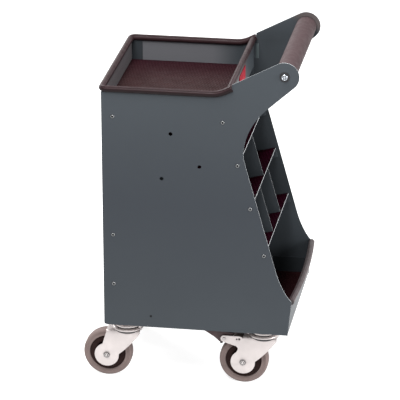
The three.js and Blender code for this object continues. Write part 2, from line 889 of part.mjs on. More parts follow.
function crownSheet() {
  const shape = outline([
    [0, -forkOuterHalf], [forkCrownLength, -forkOuterHalf],
    [forkCrownLength, forkOuterHalf], [0, forkOuterHalf],
  ]);
  shape.holes.push(roundHole(trail, 0, kingPinDiameter + 2 * runningGap));
  return flatPiece(shape, forkCrownHeight - forkSheet, forkSheet);
}

function fork(name, withBrake) {
  const shape = legOutline(withBrake);
  const legs = [-forkOuterHalf, forkClearWidth * half].map((y) => sidePiece(shape, y, forkSheet, lobeSteps));
  return piece(name, 'zinc', join(crownSheet(), ...legs));
}

function axleBolt(name) {
  const face = forkOuterHalf + runningGap;
  const end = face + axleHexHeight;
  const shank = rod(axleDiameter, -end, end + axleEnd, studSteps);
  const head = hexBlock(axleHexWidth, -end, -face);
  const nut = hexBlock(axleHexWidth, face, end);
  return piece(name, 'zinc', join(shank, head, nut));
}

function wheelCentre(name) {
  const bore = axleDiameter * half + runningGap;
  const hub = hubDiameter * half;
  const hubEnd = forkClearWidth * half - runningGap;
  const outer = rimDiameter * half - seatGap;
  const inner = outer - rimBandThickness;
  const band = wheelWidth * half - rimFaceInset;
  const web = webThickness * half;
  const profile = [
    [bore, -hubEnd], [hub, -hubEnd], [hub + rimFaceInset, -web], [inner, -web], [inner, -band],
    [outer, -band], [outer, band], [inner, band], [inner, web], [hub + rimFaceInset, web],
    [hub, hubEnd], [bore, hubEnd],
  ];
  return piece(name, 'wheelCentre', ring(profile, wheelCentreSteps));
}

function tyre(name) {
  const inner = rimDiameter * half;
  const depth = wheelRadius - inner;
  const side = wheelWidth * half;
  const shoulderShares = [[0, 0.92], [0.68, 0.97], [0.9, 0.78], [1, 0.4]];
  const shoulder = shoulderShares.map(([out, across]) => [inner + depth * out, side * across]);
  const lower = shoulder.map(([radius, across]) => [radius, -across]);
  return piece(name, 'tyre', ring([...lower, ...shoulder.reverse()], wheelSteps));
}

// Brake

function pedalOutline() {
  const shape = new THREE.Shape();
  const bossStart = [
    brakePivotReach + pedalBossRadius * Math.cos(pedalBossStartAngle * degrees),
    brakePivotHeight - pedalBossRadius * Math.sin(pedalBossStartAngle * degrees),
  ];
  shape.moveTo(pedalTipReach, pedalTipHeight);
  shape.lineTo(pedalTipReach, pedalTipHeight - pedalTipThickness);
  shape.quadraticCurveTo(
    pedalFootBack - pedalCurvePull, pedalFootHeight + pedalCurveRise, pedalFootBack, pedalFootHeight,
  );
  shape.lineTo(pedalFootFront, pedalFootHeight);
  shape.lineTo(...bossStart);
  shape.absarc(
    brakePivotReach, brakePivotHeight, pedalBossRadius,
    -pedalBossStartAngle * degrees, -pedalBossEndAngle * degrees, false,
  );
  shape.lineTo(pedalHeelReach, pedalHeelHeight - pedalHeelThickness);
  shape.lineTo(pedalHeelReach, pedalHeelHeight);
  shape.holes.push(roundHole(brakePivotReach, brakePivotHeight, brakePinDiameter + 2 * runningGap));
  return shape;
}

function pedal(name) {
  return piece(name, 'pedal', sidePiece(pedalOutline(), -pedalWidth * half, pedalWidth));
}

function shoe(name) {
  const top = pedalFootHeight - seatGap;
  const front = pedalFootFront - shoeSetback;
  return piece(name, 'shoe', block(
    [front - shoeLength, -shoeWidth * half, top - shoeHeight],
    [front, shoeWidth * half, top],
  ));
}

function pedalPin(name) {
  const face = forkOuterHalf + runningGap;
  const end = face + brakePinHeadHeight;
  const shank = rod(brakePinDiameter, -end, end, studSteps);
  const heads = [rod(brakePinHead, -end, -face, studSteps), rod(brakePinHead, face, end, studSteps)];
  const mesh = piece(name, 'zinc', join(shank, ...heads));
  mesh.position.set(brakePivotReach, 0, brakePivotHeight);
  return mesh;
}

function caster(place, reach, y, withBrake) {
  const group = new THREE.Group();
  group.position.set(reach, y, casterHeight);
  const wheelFrame = new THREE.Group();
  wheelFrame.position.set(-trail, 0, -axleDrop);
  wheelFrame.add(
    fork(`fork_${place}`, withBrake),
    axleBolt(`axle_${place}`),
    wheelCentre(`wheel_centre_${place}`),
    tyre(`tyre_${place}`),
  );
  if (withBrake) {
    wheelFrame.add(
      pedal(`brake_pedal_${place}`), shoe(`brake_shoe_${place}`), pedalPin(`brake_pin_${place}`),
    );
  }
  group.add(casterPlate(`caster_plate_${place}`), ballRace(`ball_race_${place}`), wheelFrame);
  return group;
}

function casters() {
  return [-1, 1].flatMap((side) => {
    const end = side < 0 ? 'left' : 'right';
    const outer = cartWidth * half;
    return [
      caster(`front_${end}`, frontCasterReach, side * (outer - frontCasterInset), true),
      caster(`back_${end}`, backCasterReach, side * (outer - backCasterInset), false),
    ];
  });
}

const cart = new THREE.Group();
cart.name = 'tool_cart';
cart.add(sidePanel('side_panel_left', -1), sidePanel('side_panel_right', 1), backPanel());
cart.add(trayPan(), trayMat(), blankPlate(), rimBead(), trayFrontBead());
for (const shelf of [upperShelf, middleShelf, lowerShelf]) {
  cart.add(shelfGroup(shelf, shelfSheet(shelf), ...shelfMats(shelf)));
}
cart.add(...dividers(middleShelf, upperShelf), ...dividers(lowerShelf, middleShelf));
cart.add(basePan(), binMat(), binLip(), binLipMat(), binLipBead());
cart.add(handleGroup(), ...casters());

// The origin lies under the middle of the whole cart
const bounds = new THREE.Box3().setFromObject(cart);
cart.position.x = -(bounds.min.x + bounds.max.x) * half;

export default cart;
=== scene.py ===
"""Looks of a rolling sheet-metal tool cart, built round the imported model.

Metres, +Z up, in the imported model's own frame. REACH_ORIGIN turns a place counted from the side
panels' back edge into X. Left is -Y and faces the camera; front is +X, the open side.
"""

import math

import bmesh
import bpy
from mathutils import Matrix, Vector


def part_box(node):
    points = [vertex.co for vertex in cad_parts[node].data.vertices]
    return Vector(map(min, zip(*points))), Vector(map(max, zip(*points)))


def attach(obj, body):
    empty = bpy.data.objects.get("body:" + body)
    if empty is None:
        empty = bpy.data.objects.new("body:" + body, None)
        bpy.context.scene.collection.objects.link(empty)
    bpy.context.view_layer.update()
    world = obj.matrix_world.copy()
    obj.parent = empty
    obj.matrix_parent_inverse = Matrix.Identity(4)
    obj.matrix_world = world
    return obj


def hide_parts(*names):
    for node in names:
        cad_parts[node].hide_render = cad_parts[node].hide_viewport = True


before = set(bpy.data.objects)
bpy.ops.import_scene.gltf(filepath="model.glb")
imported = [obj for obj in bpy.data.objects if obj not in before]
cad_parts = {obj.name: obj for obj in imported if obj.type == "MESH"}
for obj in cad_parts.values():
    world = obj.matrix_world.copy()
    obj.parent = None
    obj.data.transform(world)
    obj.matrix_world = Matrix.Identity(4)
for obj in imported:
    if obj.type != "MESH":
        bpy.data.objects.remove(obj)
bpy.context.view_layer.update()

MM = 0.001
FULL_TURN = 2 * math.pi
REACH_ORIGIN = -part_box("side_panel_left")[0].x

# Colours, linear
SLATE = (0.0445, 0.0515, 0.0585)
# Painted light: paler slate on the side panels' inside at the back of the tray.
LIT_SLATE = (0.09, 0.091, 0.099)
# Painted light on the back panel's inside face, stronger in the tray.
LIT_BACK_SLATE = (0.13, 0.122, 0.128)
LIT_LOWER_BACK_SLATE = (0.075, 0.083, 0.092)
# Painted shade and reflection: a darker band half way up the side panels' outsides.
SHADED_MIDDLE_SLATE = (0.0365, 0.042, 0.0495)
# Painted shade: darker slate inside the side panels towards the front, and on the back panel's side
# flanges.
SHADOW_SLATE = (0.026, 0.03, 0.034)
# Painted light: lighter slate on the tray's fixing tab.
LIT_TAB_SLATE = (0.062, 0.076, 0.08)
# Painted light and painted reflection of the grip: brownish paler slate on the ears' inside round
# the grip's end.
EAR_END_LIGHT = (0.068, 0.058, 0.058)
# Painted highlights along the sheets' front edges: on the side panels and shelves, dimmer on the
# dividers.
SLATE_EDGE_HIGHLIGHT = (0.5, 0.52, 0.54)
DIVIDER_EDGE_HIGHLIGHT = (0.2, 0.21, 0.22)
BEAD_BROWN = (0.022, 0.0105, 0.012)
# Painted highlight: paler brown on the front of the bin lip's bead.
LIP_BEAD_HIGHLIGHT = (0.12, 0.087, 0.09)
# Painted light: paler brown on the front of the tray's front bead, near half.
TRAY_BEAD_LIGHT = (0.06, 0.044, 0.047)
MAT_BROWN = (0.02, 0.0065, 0.0075)
GRAIN_BROWN = (0.026, 0.012, 0.0122)
# Painted shadow: the mats go maroon and darker towards their far side.
FAR_SHADOW_MAROON = (0.017, 0.002, 0.005)
# Painted shade: darker copies of the mat browns, for the shelf mats.
SHADED_SHELF_MAT_BROWN = (0.008, 0.0004, 0.0022)
SHADED_SHELF_GRAIN_BROWN = (0.0122, 0.0007, 0.0042)
GRIP_BROWN = (0.047, 0.028, 0.03)
ZINC = (0.52, 0.475, 0.465)
# Dark stand-in for shade: the swivel race's gap and contact line, rings round the axle bolts and
# the handle bolts' recesses; the handle bolts' dark washers are partly real, partly painted shade.
ZINC_SHADE_DARK = (0.02, 0.019, 0.021)
# Painted shade: black for the rivets' pits and seat shadows, and for a small hole near the panel's
# foot.
PIT_SHADE_BLACK = (0.012, 0.012, 0.013)
AXLE_GREY = (0.4, 0.375, 0.37)
BOLT_GREY = (0.36, 0.38, 0.41)
RIVET_GREY = (0.2, 0.205, 0.21)
TYRE_GREY = (0.187, 0.141, 0.132)
RIM_BLACK = (0.024, 0.0125, 0.0115)
PEDAL_BROWN = (0.065, 0.039, 0.041)
SHOE_BLACK = (0.02, 0.017, 0.018)
PLATE_RED = (0.33, 0.01, 0.025)


# Camera and studio

CAMERA_PLACE = (1.162, -7.03, 3.222)
CAMERA_YAW = math.radians(9.4)
CAMERA_PITCH = math.radians(21.39)
CAMERA_ROLL = math.radians(-0.16)
FOCAL_PIXELS = 3000
FRAME_PIXELS = 400
SENSOR = 36
AMBIENT = 0.5
FLOOR_REACH = 12
FLOOR_TONE = (0.6, 0.6, 0.6, 1)
FLOOR_GLOW = 0.78
WHITE = (1, 1, 1, 1)
# Name, place, what it points at, size, power
LAMPS = (
    ("key", (-0.4, -2.9, 4.1), (0, 0, 0.5), 2.0, 180),
    ("front", (4.0, -1.3, 1.7), (0, 0, 0.5), 2.0, 150),
    ("top", (-0.1, -0.5, 2.2), (0, 0.1, 0.8), 0.9, 27),
    ("back", (-2.6, 2.9, 2.9), (0, 0, 0.5), 2.2, 115),
)


def make_camera():
    data = bpy.data.cameras.new("camera")
    data.sensor_width = SENSOR
    data.lens = SENSOR * FOCAL_PIXELS / FRAME_PIXELS
    camera = bpy.data.objects.new("camera", data)
    bpy.context.scene.collection.objects.link(camera)
    camera.location = CAMERA_PLACE
    aim = Matrix.Rotation(CAMERA_YAW, 3, "Z") @ Matrix.Rotation(math.pi / 2 - CAMERA_PITCH, 3, "X")
    camera.rotation_euler = (aim @ Matrix.Rotation(CAMERA_ROLL, 3, "Z")).to_euler()
    bpy.context.scene.camera = camera


def add_lamp(name, place, target, size, power):
    data = bpy.data.lights.new(name, "AREA")
    data.shape = "DISK"
    data.size = size
    data.energy = power
    lamp = bpy.data.objects.new(name, data)
    bpy.context.scene.collection.objects.link(lamp)
    lamp.location = place
    direction = Vector(target) - Vector(place)
    lamp.rotation_euler = direction.to_track_quat("-Z", "Y").to_euler()


def seen_directly(nodes):
    """1 for rays from the camera, from gloss and through glass, 0 for light on the object."""
    paths = nodes.new("ShaderNodeLightPath")
    links = nodes.id_data.links
    value = paths.outputs["Is Camera Ray"]
    for ray in ("Is Glossy Ray", "Is Transmission Ray"):
        total = nodes.new("ShaderNodeMath")
        total.operation = "ADD"
        total.use_clamp = True
        links.new(value, total.inputs[0])
        links.new(paths.outputs[ray], total.inputs[1])
        value = total.outputs[0]
    return value


def make_world():
    world = bpy.data.worlds.new("studio")
    bpy.context.scene.world = world
    world.use_nodes = True
    nodes, links = world.node_tree.nodes, world.node_tree.links
    nodes.clear()
    seen = nodes.new("ShaderNodeBackground")
    seen.inputs["Color"].default_value = WHITE
    seen.inputs["Strength"].default_value = 1
    soft = nodes.new("ShaderNodeBackground")
    soft.inputs["Color"].default_value = WHITE
    soft.inputs["Strength"].default_value = AMBIENT
    mix = nodes.new("ShaderNodeMixShader")
    links.new(seen_directly(nodes), mix.inputs["Fac"])
    links.new(soft.outputs[0], mix.inputs[1])
    links.new(seen.outputs[0], mix.inputs[2])
    out = nodes.new("ShaderNodeOutputWorld")
    links.new(mix.outputs[0], out.inputs["Surface"])


def make_floor():
    mesh = bpy.data.meshes.new("floor")
    signs = ((-1, -1), (1, -1), (1, 1), (-1, 1))
    corners = [(x * FLOOR_REACH, y * FLOOR_REACH, 0) for x, y in signs]
    mesh.from_pydata(corners, [], [(0, 1, 2, 3)])
    floor = bpy.data.objects.new("floor", mesh)
    bpy.context.scene.collection.objects.link(floor)
    material = bpy.data.materials.new("floor")
    material.use_nodes = True
    nodes, links = material.node_tree.nodes, material.node_tree.links
    nodes.clear()
    matt = nodes.new("ShaderNodeBsdfDiffuse")
    matt.inputs["Color"].default_value = FLOOR_TONE
    glow = nodes.new("ShaderNodeEmission")
    glow.inputs["Color"].default_value = WHITE
    glow.inputs["Strength"].default_value = FLOOR_GLOW
    both = nodes.new("ShaderNodeAddShader")
    links.new(matt.outputs[0], both.inputs[0])
    links.new(glow.outputs[0], both.inputs[1])
    mix = nodes.new("ShaderNodeMixShader")
    links.new(seen_directly(nodes), mix.inputs["Fac"])
    links.new(matt.outputs[0], mix.inputs[1])
    links.new(both.outputs[0], mix.inputs[2])
    out = nodes.new("ShaderNodeOutputMaterial")
    links.new(mix.outputs[0], out.inputs["Surface"])
    mesh.materials.append(material)


make_camera()
make_world()
make_floor()
for lamp_settings in LAMPS:
    add_lamp(*lamp_settings)
bpy.context.scene.view_settings.view_transform = "Standard"


# Materials

def noise(nodes, links, scale, detail):
    """A noise texture in the object's own metres."""
    texture = nodes.new("ShaderNodeTexNoise")
    texture.inputs["Scale"].default_value = scale
    texture.inputs["Detail"].default_value = detail
    links.new(nodes.new("ShaderNodeTexCoord").outputs["Object"], texture.inputs["Vector"])
    return texture.outputs["Fac"]


def spread(nodes, links, value, low, high, start=0.3, stop=0.7):
    """value's start to stop drawn out to low to high."""
    node = nodes.new("ShaderNodeMapRange")
    node.inputs["From Min"].default_value = start
    node.inputs["From Max"].default_value = stop
    node.inputs["To Min"].default_value = low
    node.inputs["To Max"].default_value = high
    links.new(value, node.inputs["Value"])
    return node.outputs["Result"]


def blend_colours(nodes, links, factor, first, second):
    """Blends colours or colour sockets. The Mix node's own are inputs 6 and 7 and output 2."""
    node = nodes.new("ShaderNodeMix")
    node.data_type = "RGBA"
    links.new(factor, node.inputs["Factor"])
    for socket, colour in ((node.inputs[6], first), (node.inputs[7], second)):
        if isinstance(colour, tuple):
            socket.default_value = (*colour, 1)
        else:
            links.new(colour, socket)
    return node.outputs[2]


def shade(colour, factor):
    return tuple(min(1.0, channel * factor) for channel in colour)


def along(nodes, links, source, direction, both_ways, start, stop):
    """0 to 1 as a place or a normal goes from start to stop along a direction."""
    reach = nodes.new("ShaderNodeVectorMath")
    reach.operation = "DOT_PRODUCT"
    reach.inputs[1].default_value = direction
    links.new(nodes.new("ShaderNodeTexCoord").outputs[source], reach.inputs[0])
    value = reach.outputs["Value"]
    if both_ways:
        size = nodes.new("ShaderNodeMath")
        size.operation = "ABSOLUTE"
        links.new(value, size.inputs[0])
        value = size.outputs[0]
    return spread(nodes, links, value, 0, 1, start, stop)


def face_mask(nodes, links, facing, *regions):
    """1 on faces that lean far enough along a direction, where one is given, inside all regions."""
    masks = [along(nodes, links, "Normal", *facing)] if facing else []
    masks += [along(nodes, links, "Object", *region) for region in regions]
    value = masks[0]
    for mask in masks[1:]:
        both = nodes.new("ShaderNodeMath")
        both.operation = "MULTIPLY"
        links.new(value, both.inputs[0])
        links.new(mask, both.inputs[1])
        value = both.outputs[0]
    return value


def surface(name, colour, roughness, metallic=0.0, tone=0.12, tone_scale=14, rough_spread=0.1,
            grain=600, grain_depth=0.00004, tints=(), gloss=0.5):
    """A procedural surface: patchy tone, uneven roughness, fine grain, and tints on some faces."""
    material = bpy.data.materials.new(name)
    material.use_nodes = True
    nodes, links = material.node_tree.nodes, material.node_tree.links
    shader = nodes["Principled BSDF"]
    shader.inputs["Metallic"].default_value = metallic
    shader.inputs["Specular IOR Level"].default_value = gloss
    patches = spread(nodes, links, noise(nodes, links, tone_scale, 5.0), 0, 1)
    darkest, palest = shade(colour, 1 - tone), shade(colour, 1 + tone)
    colour_out = blend_colours(nodes, links, patches, darkest, palest)
    for tint, *where in tints:
        colour_out = blend_colours(nodes, links, face_mask(nodes, links, *where), colour_out, tint)
    links.new(colour_out, shader.inputs["Base Color"])
    smears = noise(nodes, links, tone_scale * 2.3, 4.0)
    low, high = max(0.05, roughness - rough_spread), min(1.0, roughness + rough_spread)
    links.new(spread(nodes, links, smears, low, high), shader.inputs["Roughness"])
    bump = nodes.new("ShaderNodeBump")
    bump.inputs["Distance"].default_value = grain_depth
    bump.inputs["Strength"].default_value = 1
    links.new(noise(nodes, links, grain, 2.0), bump.inputs["Height"])
    links.new(bump.outputs["Normal"], shader.inputs["Normal"])
    return material


# Places of tints: a direction, whether its opposite counts too, where the tint starts and is full

def above(start, full):
    return ((0, 0, 1), False, start, full)


def below(start, full):
    return ((0, 0, -1), False, -start, -full)


def ahead(start, full):
    return ((1, 0, 0), False, start, full)


def behind(start, full):
    return ((-1, 0, 0), False, -start, -full)


def rightward(start, full):
    return ((0, 1, 0), False, start, full)


def leftward(start, full):
    return ((0, -1, 0), False, -start, -full)


FRONT_FACING = ahead(0.5, 0.9)
CUT_FRONT_FACING = ahead(0.8, 0.92)
SIDE_FACING = ((0, 1, 0), True, 0.5, 0.9)
FRONT_EDGES = 0.3 - REACH_ORIGIN
TAB_START = 0.326 - REACH_ORIGIN
FLANGE_SIDE = 0.2017
GRIP_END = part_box("handle_grip")[1].y
# Painted shadow: a dark band at each end of the grip, where it meets the ears.
GRIP_END_SHADOW = (GRIP_END - 8 * MM, GRIP_END - 5 * MM)

COAT = {"roughness": 0.42, "tone": 0.07, "tone_scale": 2.5, "grain": 1500, "gloss": 0.12,
        "rough_spread": 0.03}
# Painted highlight on the side panels' edges that face forward and up, in front.
EDGE_HIGHLIGHTS = (SLATE_EDGE_HIGHLIGHT, ((1, 0, 0.8), False, 0.15, 0.3), ahead(FRONT_EDGES, FRONT_EDGES + MM))


def panel_paint(name, inward):
    """Side panel's paint, with painted light and shade: a painted darker band half way up outside;
    painted light inside in the tray and round the ear's end; painted shade inside in front; painted
    highlights on the front edges.
    """
    inside = ((0, inward, 0), False, 0.5, 0.9)
    outside = ((0, -inward, 0), False, 0.5, 0.9)
    # Painted light and reflection of the grip round the ear's end.
    ear_end = ((0.45, 0, 0.89), False, 0.855, 0.875)
    return surface(name, SLATE, **COAT, tints=(
        # Painted shade and reflection: darker band half way up outside.
        (SHADED_MIDDLE_SLATE, outside, above(0.2, 0.48), below(0.76, 0.5)),
        # Painted light on the inside walls at the back of the tray.
        (LIT_SLATE, inside, behind(0.07, 0), above(0.66, 0.72)),
        # Painted shade inside, towards the front, from the bin up to below the ear's top.
        (SHADOW_SLATE, inside, ahead(0.02, 0.14), below(0.865, 0.8), above(0.33, 0.4)),
        (EAR_END_LIGHT, inside, ear_end), EDGE_HIGHLIGHTS))


PAINT = surface("slate_powder_coat", SLATE, **COAT)
LEFT_PAINT = panel_paint("slate_left_coat", 1)
RIGHT_PAINT = panel_paint("slate_right_coat", -1)
# Back panel: painted shade on its side flanges, painted light on its inside face, stronger in the
# tray.
BACK_PAINT = surface("slate_back_coat", SLATE, **COAT, tints=(
    (SHADOW_SLATE, SIDE_FACING), (LIT_LOWER_BACK_SLATE, FRONT_FACING),
    (LIT_BACK_SLATE, FRONT_FACING, above(0.7, 0.73))))
# Painted shade: the base pan's side flanges are darker.
BASE_PAINT = surface("slate_base_coat", SLATE, **COAT, tints=((shade(SLATE, 0.75), SIDE_FACING),))
# Painted light: the tray's fixing tab is a lighter slate.
TRAY_PAINT = surface("slate_tray_coat", SLATE, **COAT, tints=(
    (LIT_TAB_SLATE, None, ahead(TAB_START, TAB_START + MM)),))
# Painted highlight on the shelves' front edges, inside their side flanges.
SHELF_PAINT = surface("slate_shelf_coat", SLATE, **COAT, tints=(
    (SLATE_EDGE_HIGHLIGHT, CUT_FRONT_FACING, ((0, 1, 0), True, FLANGE_SIDE, FLANGE_SIDE - MM / 2)),))
# Painted shade: the dividers are a darker slate than the other sheets; their front edges get a
# painted highlight.
DIVIDER_PAINT = surface("slate_divider_shaded_coat", shade(SLATE, 0.76), **COAT, tints=(
    (DIVIDER_EDGE_HIGHLIGHT, CUT_FRONT_FACING),))

BEADING = {"tone": 0.14, "tone_scale": 30, "grain": 900}
# Painted shade: the beads' undersides are darker, on the near side only.
UNDERSIDE_SHADE = (shade(BEAD_BROWN, 0.42), below(0.6, 0.05), leftward(0.1, -0.1))
BEAD = surface("brown_bead", BEAD_BROWN, 0.42, **BEADING, gloss=0.12, tints=(UNDERSIDE_SHADE,))
# Painted light on the tray front bead's front, fading out towards the far side.
TRAY_BEAD = surface("brown_tray_bead", BEAD_BROWN, 0.42, **BEADING, gloss=0.12, tints=(
    (TRAY_BEAD_LIGHT, ahead(0, 0.5), leftward(0.08, -0.12)),))
# Painted highlight on the lip bead's front, and painted shade under it.
LIP_BEAD = surface("brown_lip_bead", BEAD_BROWN, 0.4, **BEADING, gloss=0.5, tints=(
    (LIP_BEAD_HIGHLIGHT, ahead(0.55, 1)), UNDERSIDE_SHADE))

RUBBER = {"roughness": 0.7, "tone": 0.18, "tone_scale": 22, "grain": 1200, "grain_depth": 0.0001,
          "gloss": 0.12}
SHADED_RUBBER = {**RUBBER, "gloss": 0.02}
# Painted shadow on the mats' far side.
FAR_SHADOW_SIDE = rightward(0.02, 0.2)
MAT = surface("mat_rubber", MAT_BROWN, **RUBBER, tints=((shade(FAR_SHADOW_MAROON, 0.7), None, FAR_SHADOW_SIDE),))
GRAINS = surface("mat_grains", GRAIN_BROWN, **RUBBER, tints=((FAR_SHADOW_MAROON, None, FAR_SHADOW_SIDE),))
# Painted shade: the shelf mats are darker copies of the mat rubber.
SHADED_SHELF_MAT = surface("shaded_shelf_mat_rubber", SHADED_SHELF_MAT_BROWN, **SHADED_RUBBER)
SHADED_SHELF_GRAINS = surface("shaded_shelf_mat_grains", SHADED_SHELF_GRAIN_BROWN, **SHADED_RUBBER)
BIN_MAT = surface("bin_mat_rubber", MAT_BROWN, **SHADED_RUBBER)
BIN_GRAINS = surface("bin_mat_grains", shade(MAT_BROWN, 1.15), **SHADED_RUBBER)
MATS = {"tray_mat": (MAT, GRAINS), "bin_mat": (BIN_MAT, BIN_GRAINS)}

# Foam grip, with the painted shadow band at its ends.
GRIP = surface("foam_grip", GRIP_BROWN, 0.7, tone=0.06, tone_scale=30, grain=1800,
               grain_depth=0.00008, gloss=0.25, tints=(
                   (shade(GRIP_BROWN, 0.15), None, ((0, 1, 0), True, *GRIP_END_SHADOW)),))
METAL = {"metallic": 0.55, "tone": 0.06, "tone_scale": 35, "grain": 700}
STEEL = surface("zinc_plate", ZINC, 0.4, **METAL)
AXLE_STEEL = surface("axle_steel", AXLE_GREY, 0.35, **METAL)
# Painted shade: dark steel put where the casters and bolts are in shade.
SHADE_DARK_STEEL = surface("zinc_shade", ZINC_SHADE_DARK, 0.45, metallic=0.3, tone=0.1, tone_scale=40,
                     grain=700, gloss=0.3)
# Painted shade: black in the rivets' pits, round their seats and in the foot hole.
PIT_SHADE = surface("rivet_pit_shade", PIT_SHADE_BLACK, 0.7, tone=0.1, tone_scale=60, grain=900, gloss=0.05)
BRIGHT_STEEL = surface("polished_bolt", BOLT_GREY, 0.16, metallic=1.0, tone=0.05, tone_scale=60,
                       grain=900, rough_spread=0.05, grain_depth=0.00001)
RIVET_STEEL = surface("rivet_steel", RIVET_GREY, 0.3, metallic=0.9, tone=0.1, tone_scale=60,
                      grain=900)
TYRE = surface("grey_tyre", TYRE_GREY, 0.75, tone=0.1, tone_scale=40, grain=1300,
               grain_depth=0.0001, gloss=0.25)
RIM = surface("black_rim", RIM_BLACK, 0.6, tone=0.15, tone_scale=50, grain=1300, gloss=0.06)
PEDAL = surface("brown_pedal", PEDAL_BROWN, 0.55, tone=0.12, tone_scale=50, grain=1300, gloss=0.3)
SHOE = surface("black_shoe", SHOE_BLACK, 0.7, tone=0.15, tone_scale=60, grain=1300, gloss=0.2)
PLATE = surface("plain_plate", PLATE_RED, 0.6, tone=0.05, tone_scale=20, grain=900, gloss=0.05)

# The first key that a node's name holds gives its material
NODE_MATERIALS = (
    ("panel_left", LEFT_PAINT), ("panel_right", RIGHT_PAINT), ("lip_mat", GRAINS),
    ("shelf", SHELF_PAINT), ("divider", DIVIDER_PAINT), ("back_panel", BACK_PAINT),
    ("base_pan", BASE_PAINT), ("tray_pan", TRAY_PAINT), ("wheel_centre", RIM), ("tyre", TYRE),
    ("brake_pedal", PEDAL), ("brake_shoe", SHOE), ("blank_plate", PLATE), ("mat", MAT),
    ("bead", BEAD), ("grip", GRIP), ("caster", STEEL), ("ball_race", STEEL), ("fork", STEEL),
    ("axle", STEEL), ("pin", STEEL), ("handle", STEEL),
)

for node_name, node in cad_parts.items():
    chosen = next((m for key, m in NODE_MATERIALS if key in node_name), PAINT)
    node.data.materials.clear()
    node.data.materials.append(chosen)


# Mesh tools: shapes are drawn in millimetres and placed in metres

def arc(centre, radius, start, stop, steps):
    """Points on an arc, from start to stop in degrees."""
    points = []
    for step in range(steps + 1):
        angle = math.radians(start + (stop - start) * step / steps)
        points.append((centre[0] + radius * math.cos(angle), centre[1] + radius * math.sin(angle)))
    return points


def curve(points, steps):
    """Points on the Bezier curve of 3 or 4 given points, without its start."""
    found = []
    for step in range(1, steps + 1):
        share = step / steps
        row = [Vector(point) for point in points]
        while len(row) > 1:
            row = [a.lerp(b, share) for a, b in zip(row, row[1:])]
        found.append(tuple(row[0]))
    return found


def prism(mesh, outline, low, high, plane="XZ", holes=()):
    """A closed plate from low to high across the plane its outline is drawn in."""
    def point(u, v, depth):
        return (u, depth, v) if plane == "XZ" else (u, v, depth)

    edges = []
    for loop in (outline, *holes):
        corners = [mesh.verts.new(point(u, v, low)) for u, v in loop]
        edges += [mesh.edges.new((corners[i - 1], corners[i])) for i in range(len(corners))]
    if holes:
        filled = bmesh.ops.triangle_fill(mesh, edges=edges, use_beauty=True)["geom"]
        faces = [part for part in filled if isinstance(part, bmesh.types.BMFace)]
    else:
        faces = bmesh.ops.contextual_create(mesh, geom=edges)["faces"]
    raised = bmesh.ops.extrude_face_region(mesh, geom=faces)["geom"]
    top = [part for part in raised if isinstance(part, bmesh.types.BMVert)]
    shift = Vector(point(0, 0, high - low))
    bmesh.ops.translate(mesh, verts=top, vec=shift)


def lathe(mesh, profile, steps, centre=(0, 0, 0), axis="Y"):
    """A turned piece: profile lists radius and place along the axis through centre."""
    def point(radius, along, angle):
        side, rise = radius * math.cos(angle), radius * math.sin(angle)
        offset = (side, along, rise) if axis == "Y" else (side, rise, along)
        return Vector(centre) + Vector(offset)

    rings = []
    for radius, along in profile:
        if radius == 0:
            rings.append([mesh.verts.new(point(0, along, 0))] * steps)
        else:
            rings.append([mesh.verts.new(point(radius, along, FULL_TURN * k / steps))
                          for k in range(steps)])
    pairs = list(zip(rings, rings[1:]))
    if profile[0][0] > 0:
        pairs.append((rings[-1], rings[0]))
    for first, second in pairs:
        for k in range(steps):
            corners = [first[k - 1], first[k], second[k], second[k - 1]]
            distinct = [v for i, v in enumerate(corners) if v is not corners[i - 1]]
            mesh.faces.new(distinct)


def hexagon(width, centre=(0, 0)):
    return arc(centre, width / math.sqrt(3), 0, 300, 5)


def hole(centre, radius, steps):
    """Corners of a round hole."""
    return arc(centre, radius, 0, 345, steps)


def on_circle(radius, degrees):
    angle = math.radians(degrees)
    return (radius * math.cos(angle), radius * math.sin(angle))


def outward(profile, side, face=0):
    """A profile's places, counted outward from a face, on the side that is -1 or 1."""
    return [(radius, side * (face + rise)) for radius, rise in profile]


def sweep(mesh, section, stations):
    """A closed bar: at each station the section is drawn along that station's two directions."""
    rings = []
    for place, across, up in stations:
        rings.append([mesh.verts.new(place + across * side + up * rise) for side, rise in section])
    for first, second in zip(rings, rings[1:]):
        for k in range(len(section)):
            mesh.faces.new((first[k - 1], first[k], second[k], second[k - 1]))
    mesh.faces.new(rings[0])
    mesh.faces.new(rings[-1])


def soften(mesh, width, segments=2, sharper_than=35):
    """Rounds every edge whose faces meet more sharply than the angle."""
    bmesh.ops.recalc_face_normals(mesh, faces=mesh.faces)
    limit = math.radians(sharper_than)
    edges = [e for e in mesh.edges if len(e.link_faces) == 2 and e.calc_face_angle() > limit]
    bmesh.ops.bevel(mesh, geom=edges, offset=width, segments=segments, profile=0.5,
                    affect="EDGES", clamp_overlap=True)


def join_mesh(mesh, other):
    """Adds one drawing to another and frees it."""
    data = bpy.data.meshes.new("part")
    other.to_mesh(data)
    other.free()
    mesh.from_mesh(data)
    bpy.data.meshes.remove(data)


def make_piece(name, mesh, material, body, replaced, place, smooth=40):
    """Makes a drawing an object that rides on a body, smooth where faces meet under the angle."""
    bmesh.ops.recalc_face_normals(mesh, faces=mesh.faces)
    mesh.transform(place @ Matrix.Scale(MM, 4))
    data = bpy.data.meshes.new(name)
    mesh.to_mesh(data)
    mesh.free()
    data.materials.append(material)
    data.shade_smooth()
    data.set_sharp_from_angle(angle=math.radians(smooth))
    piece = bpy.data.objects.new(name, data)
    bpy.context.scene.collection.objects.link(piece)
    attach(piece, body)
    if replaced:
        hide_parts(*replaced)


def shifted(reach=0, y=0, height=0):
    """Matrix from millimetres counted from the back edge and the floor to metres."""
    return Matrix.Translation((reach * MM - REACH_ORIGIN, y * MM, height * MM))


# Casters: drawn from the wheel's axle, in millimetres

